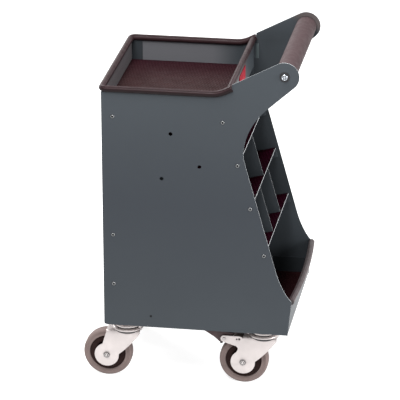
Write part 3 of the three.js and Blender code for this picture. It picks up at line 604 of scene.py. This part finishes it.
WHEEL_RADIUS = 62.5
WHEEL_HALF = 16
RIM_RADIUS = 46
RIM_INNER = 31
HUB_RADIUS = 17
RIBS = 10
RIB_HALF = 1.3
AXLE_BORE = 5.3
TRAIL = 51
CROWN_TOP = 70
FORK_SHEET = 2.5
FORK_CLEAR_HALF = 26.5
FORK_OUTER = FORK_CLEAR_HALF + FORK_SHEET
FORK_BEND = 5
FORK_LENGTH = 86
LOBE_RADIUS = 31.3
LOBE_START = 365
LOBE_END = 110
LOBE_END_BRAKED = 126
LEG_FLANGE = 7
FORK_FACE = FORK_OUTER + 0.3
BRAKE_PIVOT = (-48, 62)
BRAKE_PIN_BORE = 3.3
BRAKE_ARM_RADIUS = 9
BRAKE_ARM_LEAN = 17
BRAKE_ARM_REACH = 27
FORK_HOLES = (((-9, 63), 2.8), ((-15.5, 62.5), 2.1))
PEDAL_TIP = (-102, 86)
PEDAL_HEEL = (-25, 76)
PEDAL_HALF = 23
PEDAL_RIBS = 6
SHOE_HALF = 12
WHEEL_STEPS = 72

# Swivel head and plate
SWIVEL_STEPS = 64
SWIVEL_BORE = 6.4
KING_PIN_RADIUS = 6.3
CUP_RISE = 6.2
RING_GAP = 2.2
RING_DROP = 12.8
BASE_UNDERSIDE = 97.5
PLATE_TOP = BASE_UNDERSIDE - 0.3
PLATE_HALF = (50, 42.5)
PLATE_CORNER = 9
PLATE_SHEET = 3
BOLT_OFFSET = (36.5, 30)
NUT_WIDTH = 13


def tyre_profile():
    """Flat tread with round shoulders, a slightly hollow side wall and a bead at the rim."""
    half = [
        (RIM_RADIUS, WHEEL_HALF - 2.2), (RIM_RADIUS + 0.7, WHEEL_HALF - 1),
        (RIM_RADIUS + 2.2, WHEEL_HALF - 0.9), (RIM_RADIUS + 3.2, WHEEL_HALF - 1.8),
        (RIM_RADIUS + 7, WHEEL_HALF - 1.4), (WHEEL_RADIUS - 6, WHEEL_HALF - 0.4),
        (WHEEL_RADIUS - 4.4, WHEEL_HALF - 0.2), (WHEEL_RADIUS - 2.6, WHEEL_HALF - 1.2),
        (WHEEL_RADIUS - 1.2, WHEEL_HALF - 3), (WHEEL_RADIUS - 0.35, WHEEL_HALF - 5.5),
        (WHEEL_RADIUS, WHEEL_HALF - 8.5),
    ]
    return half + [(r, -y) for r, y in reversed(half)]


def add_tyre(place, at):
    mesh = bmesh.new()
    lathe(mesh, tyre_profile(), WHEEL_STEPS)
    body = f"wheel_{place}"
    make_piece(f"tyre_tread_{place}", mesh, TYRE, body, [f"tyre_{place}"], at, 50)


def add_wheel_centre(place, at):
    """Moulded wheel centre: a rim band, a web with ribs on both sides, and a hub."""
    mesh = bmesh.new()
    band = WHEEL_HALF - 3.4
    web = 3
    hub_end = FORK_CLEAR_HALF - 0.3
    lathe(mesh, [
        (AXLE_BORE, hub_end), (HUB_RADIUS - 3, hub_end), (HUB_RADIUS - 2, hub_end - 1),
        (HUB_RADIUS, web + 2), (HUB_RADIUS + 2, web), (RIM_INNER - 2, web), (RIM_INNER, web + 2),
        (RIM_INNER + 0.8, band - 1), (RIM_INNER + 1.6, band), (RIM_RADIUS - 1.6, band),
        (RIM_RADIUS - 0.4, band - 1.2), (RIM_RADIUS - 0.4, 1.2 - band), (RIM_RADIUS - 1.6, -band),
        (RIM_INNER + 1.6, -band), (RIM_INNER + 0.8, 1 - band), (RIM_INNER, -web - 2),
        (RIM_INNER - 2, -web), (HUB_RADIUS + 2, -web), (HUB_RADIUS, -web - 2),
        (HUB_RADIUS - 2, 1 - hub_end), (HUB_RADIUS - 3, -hub_end), (AXLE_BORE, -hub_end),
    ], WHEEL_STEPS)
    for k in range(RIBS):
        rib = bmesh.new()
        prism(rib, [(HUB_RADIUS - 3, -RIB_HALF), (RIM_INNER + 2, -RIB_HALF),
                    (RIM_INNER + 2, RIB_HALF), (HUB_RADIUS - 3, RIB_HALF)], -band + 3, band - 3)
        soften(rib, 0.5, 1)
        rib.transform(Matrix.Rotation(FULL_TURN * k / RIBS, 4, "Y"))
        join_mesh(mesh, rib)
    make_piece(f"wheel_disc_{place}", mesh, RIM, f"wheel_{place}",
               [f"wheel_centre_{place}"], at)


def leg_outline(with_brake):
    """The fork's leg from the side, below the bend into the crown."""
    top = CROWN_TOP - FORK_BEND
    lobe_end = LOBE_END_BRAKED if with_brake else LOBE_END
    points = [(FORK_LENGTH, CROWN_TOP - 8), (FORK_LENGTH, top), (0, top)]
    if with_brake:
        lean = math.radians(BRAKE_ARM_LEAN)
        points += [(-2, top + 3), (-8, BRAKE_PIVOT[1] + BRAKE_ARM_RADIUS)]
        points += arc(BRAKE_PIVOT, BRAKE_ARM_RADIUS, 90, 270 - BRAKE_ARM_LEAN, 14)
        under = Vector(BRAKE_PIVOT) + BRAKE_ARM_RADIUS * Vector((-math.sin(lean), -math.cos(lean)))
        root = under + BRAKE_ARM_REACH * Vector((math.cos(lean), -math.sin(lean)))
        points.append(tuple(root))
        lobe = on_circle(LOBE_RADIUS, lobe_end)
        points += curve([tuple(root), (root.x + 20, root.y - BRAKE_ARM_RADIUS / 2), lobe], 10)[:-1]
    points += arc((0, 0), LOBE_RADIUS, lobe_end, LOBE_START, 40)
    return points + leg_front_edge()[:-1]


def leg_front_edge():
    """From the lobe up to the crown's front corner."""
    start = on_circle(LOBE_RADIUS, LOBE_START)
    return curve([start, (FORK_LENGTH - 26, 26), (FORK_LENGTH, CROWN_TOP - 8)], 14)


def add_fork(place, at, with_brake):
    """A fork pressed from one sheet: two legs, round bends and the crown they hang from."""
    mesh = bmesh.new()
    holes = [hole((0, 0), AXLE_BORE, 23)]
    if with_brake:
        holes.append(hole(BRAKE_PIVOT, BRAKE_PIN_BORE, 15))
        holes += [hole(centre, radius, 11) for centre, radius in FORK_HOLES]
    inner = FORK_BEND - FORK_SHEET
    for side in (-1, 1):
        leg = bmesh.new()
        low, high = sorted((side * FORK_CLEAR_HALF, side * FORK_OUTER))
        prism(leg, leg_outline(with_brake), low, high, "XZ", holes)
        soften(leg, 0.6, 2, 50)
        join_mesh(mesh, leg)
        flange = bmesh.new()
        front = leg_front_edge()[2:]
        rear = [(x - FORK_SHEET, z + FORK_SHEET / 2) for x, z in reversed(front)]
        low, high = sorted((side * (FORK_CLEAR_HALF - LEG_FLANGE), side * (FORK_OUTER - 0.8)))
        prism(flange, front + rear, low, high)
        soften(flange, 0.8, 2, 60)
        join_mesh(mesh, flange)
        bend = bmesh.new()
        middle = (side * (FORK_OUTER - FORK_BEND), CROWN_TOP - FORK_BEND)
        start, stop = (0, 90) if side > 0 else (180, 90)
        ring = arc(middle, FORK_BEND, start, stop, 6) + arc(middle, inner, stop, start, 6)
        rings = [[bend.verts.new((x, y, z)) for y, z in ring] for x in (0, FORK_LENGTH)]
        for k in range(len(ring)):
            bend.faces.new((rings[0][k - 1], rings[0][k], rings[1][k], rings[1][k - 1]))
        for end in rings:
            bend.faces.new(end)
        join_mesh(mesh, bend)
    crown = bmesh.new()
    half = FORK_OUTER - FORK_BEND
    prism(crown, [(0, -half), (FORK_LENGTH, -half), (FORK_LENGTH, half), (0, half)],
          CROWN_TOP - FORK_SHEET, CROWN_TOP, "XY", [hole((TRAIL, 0), KING_PIN_RADIUS, 23)])
    join_mesh(mesh, crown)
    make_piece(f"fork_body_{place}", mesh, STEEL, f"fork_{place}", [f"fork_{place}"], at)


def add_race(place, at):
    """Swivel head: a dished lower cup, a dark disc that paints the shade in the groove its balls
    run in, a dark cone that paints the cup's contact shadow on the fork, and the upper ring.
    """
    cup_top = CROWN_TOP + CUP_RISE
    ring_low, ring_high = cup_top + RING_GAP, BASE_UNDERSIDE - RING_DROP
    cup = [
        (SWIVEL_BORE, CROWN_TOP + 0.5), (39.6, CROWN_TOP + 0.5), (40, CROWN_TOP + 1.5),
        (39.7, cup_top - 2.4), (38.6, cup_top - 1.2), (34, cup_top), (SWIVEL_BORE, cup_top),
    ]
    # Painted shadow: a dark cone under the cup, seen as the cup's contact line on the fork.
    cup_shadow = [
        (28, CROWN_TOP - 9.5), (33, CROWN_TOP - 7), (37, CROWN_TOP - 3.6), (39.2, CROWN_TOP - 0.4),
        (39.2, CROWN_TOP + 0.7), (28, CROWN_TOP + 0.7),
    ]
    # Painted shade: a dark disc filling the gap between the cup and the ring, where the balls run.
    groove = [
        (SWIVEL_BORE, cup_top - 0.3), (32, cup_top - 0.3), (32, ring_low + 0.3),
        (SWIVEL_BORE, ring_low + 0.3),
    ]
    ring = [
        (SWIVEL_BORE, ring_low), (33, ring_low), (34.3, ring_low + 0.8), (34.6, ring_low + 2.5),
        (34, ring_high - 1.6), (32.4, ring_high), (SWIVEL_BORE, ring_high),
    ]
    for name, profiles, material, replaced in (
            ("swivel_cup", [cup], STEEL, [f"ball_race_{place}"]),
            ("race_shade", [cup_shadow, groove], SHADE_DARK_STEEL, ()),
            ("upper_ring", [ring], STEEL, ())):
        mesh = bmesh.new()
        for profile in profiles:
            lathe(mesh, profile, SWIVEL_STEPS, (TRAIL, 0, 0), "Z")
        make_piece(f"{name}_{place}", mesh, material, f"fork_{place}", replaced, at)


def add_caster_plate(place, at):
    """Rounded plate with the upper cup pressed in it, and four bolts with nuts and washers."""
    mesh = bmesh.new()
    top = PLATE_TOP
    outline = []
    for sx, sy, start in ((1, 1, 0), (-1, 1, 90), (-1, -1, 180), (1, -1, 270)):
        centre = (TRAIL + sx * (PLATE_HALF[0] - PLATE_CORNER), sy * (PLATE_HALF[1] - PLATE_CORNER))
        outline += arc(centre, PLATE_CORNER, start, start + 90, 6)
    prism(mesh, outline, top - PLATE_SHEET, top, "XY")
    soften(mesh, 0.5, 2)
    cup = bmesh.new()
    lathe(cup, [(0, top - 1), (33, top - 1), (33, top - 3.4), (31, top - 4), (28.4, top - 6),
                (28, top - 12), (0, top - 12)], 48, (TRAIL, 0, 0), "Z")
    join_mesh(mesh, cup)
    washer = [(0, top - 2), (8, top - 2), (8, top - 4.4), (0, top - 4.4)]
    bolt = [(0, top - 5), (3.9, top - 5), (3.9, top - 13.8), (3.2, top - 14.8), (0, top - 14.8)]
    for sx in (-1, 1):
        for sy in (-1, 1):
            spot = (TRAIL + sx * BOLT_OFFSET[0], sy * BOLT_OFFSET[1])
            nut = bmesh.new()
            prism(nut, hexagon(NUT_WIDTH, spot), top - 10, top - 4.5, "XY")
            soften(nut, 0.5, 1)
            lathe(nut, washer, 24, (*spot, 0), "Z")
            lathe(nut, bolt, 16, (*spot, 0), "Z")
            join_mesh(mesh, nut)
    make_piece(f"top_plate_{place}", mesh, STEEL, "cart", [f"caster_plate_{place}"], at)


def add_axle(place, at):
    """Axle bolt with a washer and a chamfered head or nut on each side, and dark rings that paint
    the shade round the head and round the bolt's tip.
    """
    mesh, rings = bmesh.new(), bmesh.new()
    lathe(mesh, [(0, -FORK_FACE), (5, -FORK_FACE), (5, FORK_FACE), (0, FORK_FACE)], 24)
    washer = [(0, 0), (8.7, 0), (9, 0.4), (8.7, 1.3), (0, 1.3)]
    # Painted shade: a dark ring between the washer and the head.
    washer_shadow_ring = [(0, 0.6), (7.7, 0.6), (7.7, 1.7), (0, 1.7)]
    tip = [(0, 4), (3.2, 4), (3.2, 6.2), (2.4, 6.9), (0, 6.9)]
    # Painted shade: a dark ring round the bolt's tip.
    tip_shadow_ring = [(0, 4), (4.4, 4), (4.4, 5.25), (0, 5.25)]
    for side in (-1, 1):
        lathe(mesh, outward(washer, side, FORK_FACE), 32)
        lathe(rings, outward(washer_shadow_ring, side, FORK_FACE), 32)
        head = bmesh.new()
        low, high = sorted((side * (FORK_FACE + 1.2), side * (FORK_FACE + 5)))
        prism(head, hexagon(12.2), low, high)
        soften(head, 1.1, 2)
        join_mesh(mesh, head)
        lathe(mesh, outward(tip, side, FORK_FACE), 20)
        lathe(rings, outward(tip_shadow_ring, side, FORK_FACE), 20)
    body = f"fork_{place}"
    make_piece(f"axle_bolt_{place}", mesh, AXLE_STEEL, body, [f"axle_{place}"], at)
    make_piece(f"axle_rings_{place}", rings, SHADE_DARK_STEEL, body, (), at)


def add_brake(place, at):
    """Pedal with raised grip ribs, its shoe, and the pin they turn on."""
    mesh = bmesh.new()
    outline = [PEDAL_TIP, (-102, 80), *curve([(-102, 80), (-67, 60), (-61.5, 51)], 10), (-52, 51)]
    outline += [*arc(BRAKE_PIVOT, 7.5, 290, 335, 5), (-25, 68), PEDAL_HEEL]
    prism(mesh, outline, -PEDAL_HALF, PEDAL_HALF, "XZ", [hole(BRAKE_PIVOT, BRAKE_PIN_BORE, 15)])
    soften(mesh, 1.2, 3, 40)
    for k in range(PEDAL_RIBS):
        middle = Vector(PEDAL_TIP).lerp(Vector(PEDAL_HEEL), 0.07 + 0.08 * k)
        rib = bmesh.new()
        prism(rib, arc(tuple(middle), 1.1, 0, 330, 11), 4 - PEDAL_HALF, PEDAL_HALF - 4)
        join_mesh(mesh, rib)
    body, fork = f"brake_{place}", f"fork_{place}"
    make_piece(f"pedal_{place}", mesh, PEDAL, body, [f"brake_pedal_{place}"], at)
    shoe = bmesh.new()
    low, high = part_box(f"brake_shoe_{place}")
    centre = at.translation
    x0, x1 = ((v - centre.x) / MM for v in (low.x, high.x))
    z0, z1 = ((v - centre.z) / MM for v in (low.z, high.z))
    prism(shoe, [(x0, z0 + 2), (x0 + 2, z0), (x1, z0 + 1), (x1, z1), (x0, z1)],
          -SHOE_HALF, SHOE_HALF)
    soften(shoe, 0.9, 2, 30)
    make_piece(f"shoe_{place}", shoe, SHOE, body, [f"brake_shoe_{place}"], at)
    pin = bmesh.new()
    head = [(3, 0), (4.5, 0), (4.2, 1), (3, 1.5), (0, 1.5)]
    profile = [*reversed(outward(head, -1, FORK_FACE)), *outward(head, 1, FORK_FACE)]
    lathe(pin, profile, 24, (BRAKE_PIVOT[0], 0, BRAKE_PIVOT[1]))
    make_piece(f"pedal_pin_{place}", pin, AXLE_STEEL, fork, [f"brake_pin_{place}"], at)


for caster_place in ("front_left", "front_right", "back_left", "back_right"):
    tyre_low, tyre_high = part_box(f"tyre_{caster_place}")
    axle_at = Matrix.Translation((tyre_low + tyre_high) / 2)
    braked = caster_place.startswith("front")
    add_tyre(caster_place, axle_at)
    add_wheel_centre(caster_place, axle_at)
    add_fork(caster_place, axle_at, braked)
    add_race(caster_place, axle_at)
    add_caster_plate(caster_place, axle_at)
    add_axle(caster_place, axle_at)
    if braked:
        add_brake(caster_place, axle_at)


# Edge beads: a hollow round profile with two lips that clamp the sheet

RIM_HEIGHT = 792
SHEET = 1.5
PANEL_HALF = 205
BEAD_RADIUS = 8
BEAD_LIFT = -0.7
EAR = (455.5, 845)
EAR_RADIUS = 36
EAR_SLOPE = 27.5
RIM_BEND_RADIUS = 80
BEAD_CORNER = 12
BEAD_END = 326
BEAD_STEPS = 10
BEND_STEPS = 10
CORNER_STEPS = 8
GROOVE_ANGLE = 45
GROOVE_HALF = 9
GROOVE_DEPTH = 1.2
LIP_HALF = 2.6
SLOT_HALF = 1.1
SLOT_DEPTH = 0.6


def bead_section():
    """Round outside with a groove along each side, and the slot that takes the sheet."""
    start = math.degrees(math.asin(LIP_HALF / BEAD_RADIUS))
    low, high = GROOVE_ANGLE - GROOVE_HALF, GROOVE_ANGLE + GROOVE_HALF
    floor = arc((0, 0), BEAD_RADIUS - GROOVE_DEPTH, GROOVE_ANGLE - 2, GROOVE_ANGLE + 2, 1)
    right = arc((0, 0), BEAD_RADIUS, start - 90, low, BEAD_STEPS) + floor
    left = [(-side, rise) for side, rise in reversed(right)]
    points = right + arc((0, 0), BEAD_RADIUS, high, 180 - high, BEAD_STEPS // 2) + left
    foot = -BEAD_RADIUS * math.cos(math.radians(start))
    left_wall = [(-SLOT_HALF, foot), (-SLOT_HALF, SLOT_DEPTH)]
    return points + left_wall + [(SLOT_HALF, SLOT_DEPTH), (SLOT_HALF, foot)]


def ear_top(reach):
    """Height of the ear's sloping upper edge, and of the line that the covered rim bends up to."""
    slope = math.radians(EAR_SLOPE)
    return (EAR[1] + EAR_RADIUS * math.cos(slope)
            - (EAR[0] - EAR_RADIUS * math.sin(slope) - reach) * math.tan(slope))


def rim_stations():
    """Stations from the left ear round the back to the right ear, in millimetres."""
    slope = math.radians(EAR_SLOPE)
    drop = BEAD_RADIUS / math.cos(slope)
    side = PANEL_HALF - SHEET / 2
    lift = BEAD_LIFT / math.cos(slope)
    bend_end = BEAD_END - (ear_top(BEAD_END) - drop - RIM_HEIGHT) / math.tan(slope)
    bend_start = bend_end - RIM_BEND_RADIUS * math.tan(slope / 2)
    bend_middle = (bend_start, RIM_HEIGHT + RIM_BEND_RADIUS)
    radius = RIM_BEND_RADIUS - BEAD_LIFT
    path = [(reach, ear_top(reach) - drop + lift, slope) for reach in (BEAD_END, BEAD_END - 4)]
    for step in range(BEND_STEPS + 1):
        angle = slope * (1 - step / BEND_STEPS)
        path.append((bend_middle[0] + radius * math.sin(angle),
                     bend_middle[1] - radius * math.cos(angle), angle))
    stations = [((reach, -side, height), (0, -1, 0), (-math.sin(a), 0, math.cos(a)))
                for reach, height, a in path]
    for step in range(CORNER_STEPS + 1):
        angle = FULL_TURN / 4 * step / CORNER_STEPS
        away = (-math.sin(angle), -math.cos(angle))
        at = (SHEET / 2 + BEAD_CORNER * (1 + away[0]), BEAD_CORNER * (1 + away[1]) - side,
              RIM_HEIGHT + BEAD_LIFT)
        stations.append((at, (*away, 0), (0, 0, 1)))
    mirrored = [((x, -y, z), (a, -b, c), up) for (x, y, z), (a, b, c), up in reversed(stations)]
    return [(Vector(at), Vector(across), Vector(up)) for at, across, up in stations + mirrored]


def add_bead(name, stations, material, node):
    mesh = bmesh.new()
    sweep(mesh, bead_section(), stations)
    soften(mesh, 0.9, 2, 60)
    make_piece(name, mesh, material, "cart", [node], shifted())


def add_tray_front_bead():
    low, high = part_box("tray_front_bead")
    half = (high.y - low.y) / 2 / MM
    middle = ((low.x + high.x) / 2 + REACH_ORIGIN) / MM
    height = high.z / MM - BEAD_RADIUS
    stations = [(Vector((middle, y, height)), Vector((1, 0, 0)), Vector((0, 0, 1)))
                for y in (half, -half)]
    add_bead("tray_edge_bead", stations, TRAY_BEAD, "tray_front_bead")


# Bin lip: bowed forward at the top

CASTER_HEIGHT = 160
LIP_TOP = (477, 252)
FOOT_LENGTH = 468
LIP_SETBACK = 1
LIP_BOW = 8.7
LIP_STEPS = 28
INNER_HALF = 203.2


def lip_reach(height, y):
    """Middle of the lip's sheet at a height and a place across the cart."""
    rise = (height - CASTER_HEIGHT) / (LIP_TOP[1] - CASTER_HEIGHT)
    flat = FOOT_LENGTH + (LIP_TOP[0] - FOOT_LENGTH) * rise - LIP_SETBACK - SHEET / 2
    return flat + LIP_BOW * rise * (1 - (y / INNER_HALF) ** 2)


def add_lip_bead():
    stations = []
    for step in range(LIP_STEPS + 1):
        y = INNER_HALF * (1 - 2 * step / LIP_STEPS)
        top = Vector((lip_reach(LIP_TOP[1], y), y, LIP_TOP[1]))
        up = (top - Vector((lip_reach(CASTER_HEIGHT, y), y, CASTER_HEIGHT))).normalized()
        across = Vector((1, 2 * y / INNER_HALF ** 2 * LIP_BOW, 0))
        across = (across - up * across.dot(up)).normalized()
        stations.append((top + up * BEAD_LIFT, across, up))
    add_bead("lip_edge_bead", stations, LIP_BEAD, "bin_lip_bead")


# Mats with staggered grains that run across the cart

GRAIN_PITCH = 8
GRAIN_SPACING = 28
GRAIN_HALF = (2.5, 6.3)
GRAIN_SLOPE = 0.6
GRAIN_DEPTH = 0.9
GRAIN_SINK = 0.05
MAT_MARGIN = 3
MAT_SIDE = 201.4
FLOORS = {"tray_mat": 730.3, "bin_mat": 161.8}


def add_grain(mesh, x, y, low):
    """One raised grain with sloping sides, closed below, on the mat's face."""
    half_x, half_y = GRAIN_HALF
    rings = []
    for inset, rise in ((0, low), (GRAIN_SLOPE, low + GRAIN_DEPTH)):
        dx, dy = half_x - inset, half_y - inset
        rings.append([mesh.verts.new((x + sx * dx, y + sy * dy, rise))
                      for sx, sy in ((-1, -1), (1, -1), (1, 1), (-1, 1))])
    for k in range(4):
        mesh.faces.new((rings[0][k - 1], rings[0][k], rings[1][k], rings[1][k - 1]))
    mesh.faces.new(rings[1])
    mesh.faces.new(reversed(rings[0]))


def add_mat(node, back, front, low_y, high_y, thickness, place):
    """A mat with a plain rim, and the staggered grains on it."""
    mesh, grains = bmesh.new(), bmesh.new()
    base = thickness - GRAIN_DEPTH
    prism(mesh, [(back, low_y), (front, low_y), (front, high_y), (back, high_y)], 0, base, "XY")
    soften(mesh, 0.5, 1)
    half_x, half_y = GRAIN_HALF
    for row in range(int((front - back - 2 * MAT_MARGIN) / GRAIN_PITCH * 2)):
        x = front - MAT_MARGIN - half_x - row * GRAIN_PITCH / 2
        start = low_y + MAT_MARGIN + half_y + (row % 2) * GRAIN_SPACING / 2
        count = int((high_y - MAT_MARGIN - half_y - start) / GRAIN_SPACING) + 1
        for k in range(count):
            add_grain(grains, x, start + k * GRAIN_SPACING, base - GRAIN_SINK)
    sheet, top = MATS.get(node, (SHADED_SHELF_MAT, SHADED_SHELF_GRAINS))
    make_piece(f"{node}_sheet", mesh, sheet, "cart", [node], place, 30)
    make_piece(f"{node}_grains", grains, top, "cart", (), place, 30)


SHELF_TILT = 14.5
SHELF_MAT_THICK = 2.5
SHELF_MAT_SEAT = 0.3
SHELF_FRONTS = {"upper": (346.6, 621), "middle": (377.9, 508), "lower": (412.3, 384)}


def shelf_place(shelf):
    reach, height = SHELF_FRONTS[shelf]
    return shifted(reach, 0, height) @ Matrix.Rotation(math.radians(-SHELF_TILT), 4, "Y")


def add_mats():
    for node, floor in FLOORS.items():
        low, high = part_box(node)
        side = min(high.y / MM, MAT_SIDE)
        add_mat(node, (low.x + REACH_ORIGIN) / MM, (high.x + REACH_ORIGIN) / MM,
                -side, side, high.z / MM - floor, shifted(0, 0, floor))
    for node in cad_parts:
        if not (node.startswith("shelf_") and "_mat" in node):
            continue
        shelf = node.split("_")[1]
        low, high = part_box(node)
        reach = SHELF_FRONTS[shelf][0]
        back = ((low.x + REACH_ORIGIN) / MM - reach) / math.cos(math.radians(SHELF_TILT)) + 1
        side_low, side_high = max(low.y / MM, -MAT_SIDE), min(high.y / MM, MAT_SIDE)
        place = shelf_place(shelf) @ Matrix.Translation((0, 0, SHELF_MAT_SEAT * MM))
        add_mat(node, back, 0, side_low, side_high, SHELF_MAT_THICK - SHELF_MAT_SEAT, place)


# Handle

GRIP_BORE = 13.3
GRIP_EDGE = 4
GRIP_RINGS = 16
BOLT_LENGTH = 24


def add_grip():
    """Foam sleeve with soft end rounds over the steel tube."""
    mesh = bmesh.new()
    low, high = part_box("handle_grip")
    end = (high.y - low.y) / 2 / MM
    radius = (high.z - low.z) / 2 / MM
    flat = end - GRIP_EDGE
    profile = [(GRIP_BORE, -end), *arc((radius - GRIP_EDGE, -flat), GRIP_EDGE, -90, 0, 6)]
    profile += [(radius, -flat + 2 * flat * k / GRIP_RINGS) for k in range(1, GRIP_RINGS)]
    profile += [*arc((radius - GRIP_EDGE, flat), GRIP_EDGE, 0, 90, 6), (GRIP_BORE, end)]
    lathe(mesh, profile, 72)
    place = Matrix.Translation((low + high) / 2)
    make_piece("grip_sleeve", mesh, GRIP, "cart", ["handle_grip"], place, 60)


def add_handle_bolt(side, name):
    """Bolt with a rounded head and a six-sided stud in its recess, on a dark washer that is partly
    painted shade; a dark disc paints the shade at the bottom of the recess.
    """
    mesh, seat = bmesh.new(), bmesh.new()
    face = 0.3
    base = face + 1.6
    # The dark washer: partly a real dark washer, partly painted shade of the gap under the head.
    lathe(seat, [(0, face), (11.8, face), (12.5, face + 0.5), (12.3, face + 1.3), (11.6, base),
                 (0, base)], 40)
    lathe(mesh, [(0, -BOLT_LENGTH), (4, -BOLT_LENGTH), (4, face), (0, face)], 24)
    head = [(8.3, base), (8.4, base + 1.1), (8, base + 2.4), (7.2, base + 3.8), (6.2, base + 4.6),
            (4.9, base + 5)]
    lathe(mesh, [(0, base), *head, (4.6, base + 4.7), (4.5, base + 2), (0, base + 1.8)], 40)
    # Painted shade: a dark disc at the bottom of the head's recess.
    lathe(seat, [(0, base + 1.5), (4.5, base + 1.5), (4.5, base + 2.6), (0, base + 2.6)], 24)
    prism(mesh, hexagon(6), base + 1.8, base + 3)
    turn = Matrix.Identity(4) if side > 0 else Matrix.Rotation(math.pi, 4, "Z")
    place = shifted(EAR[0], side * PANEL_HALF, EAR[1]) @ turn
    make_piece(f"{name}_head", mesh, BRIGHT_STEEL, "cart", [name], place)
    make_piece(f"{name}_seat", seat, SHADE_DARK_STEEL, "cart", (), place)


# Rivets that hold the inner sheets, on both side panels

RIVETS = ((28, 720), (303, 719), (340, 608), (372, 495), (407, 372), (26, 406), (26, 273))
FOOT_HOLE = (120, 190)
RIVET_HEAD = ((2.6, 0.1), (4.6, 0.1), (4.7, 0.4), (4.5, 0.9), (4, 1.3), (3.3, 1.5), (2.8, 1.4),
              (2.6, 1))
# Painted shade: a dark disc under each head, seen as the pit and as a shadow round the seat.
RIVET_SHADE_CORE = ((0, 0.05), (5.4, 0.05), (5.4, 0.25), (2.7, 0.25), (2.6, 0.5), (1, 0.5), (0.8, 0.3),
              (0, 0.3))
# Painted shade: a dark disc where a small hole near the panel's foot shows dark.
FOOT_HOLE_SHADE = ((0, 0.05), (3, 0.05), (3, 0.3), (0, 0.3))
RIVET_STEPS = 20


def add_rivets(side, name):
    """Ring heads on dark discs that paint the shade in their pits and the shadow round their seats,
    and a dark disc that paints the shade of a small hole near the panel's foot.
    """
    heads, shade_cores = bmesh.new(), bmesh.new()
    spots = [(mesh, profile, spot) for spot in RIVETS
             for mesh, profile in ((heads, RIVET_HEAD), (shade_cores, RIVET_SHADE_CORE))]
    for mesh, profile, (reach, height) in (*spots, (shade_cores, FOOT_HOLE_SHADE, FOOT_HOLE)):
        lathe(mesh, outward(profile, side), RIVET_STEPS, (reach, side * PANEL_HALF, height))
    make_piece(name, heads, RIVET_STEEL, "cart", (), shifted())
    make_piece(f"{name}_cores", shade_cores, PIT_SHADE, "cart", (), shifted())


add_bead("rim_edge_bead", rim_stations(), BEAD, "rim_bead")
add_tray_front_bead()
add_lip_bead()
add_mats()
add_grip()
add_handle_bolt(-1, "handle_bolt_left")
add_handle_bolt(1, "handle_bolt_right")
add_rivets(-1, "rivets_left")
add_rivets(1, "rivets_right")


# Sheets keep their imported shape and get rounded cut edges

PANEL_EDGE_ROUND = 0.7 * MM
EDGE_ROUND = 0.4 * MM
SHARP_EDGE = math.radians(40)

for node_name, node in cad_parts.items():
    if node.data.materials[0].name.startswith("slate") or node_name == "blank_plate":
        edge_round = node.modifiers.new("edge_round", "BEVEL")
        edge_round.width = PANEL_EDGE_ROUND if node_name.startswith("side_panel") else EDGE_ROUND
        edge_round.segments = 2
        edge_round.limit_method = "ANGLE"
        edge_round.angle_limit = SHARP_EDGE
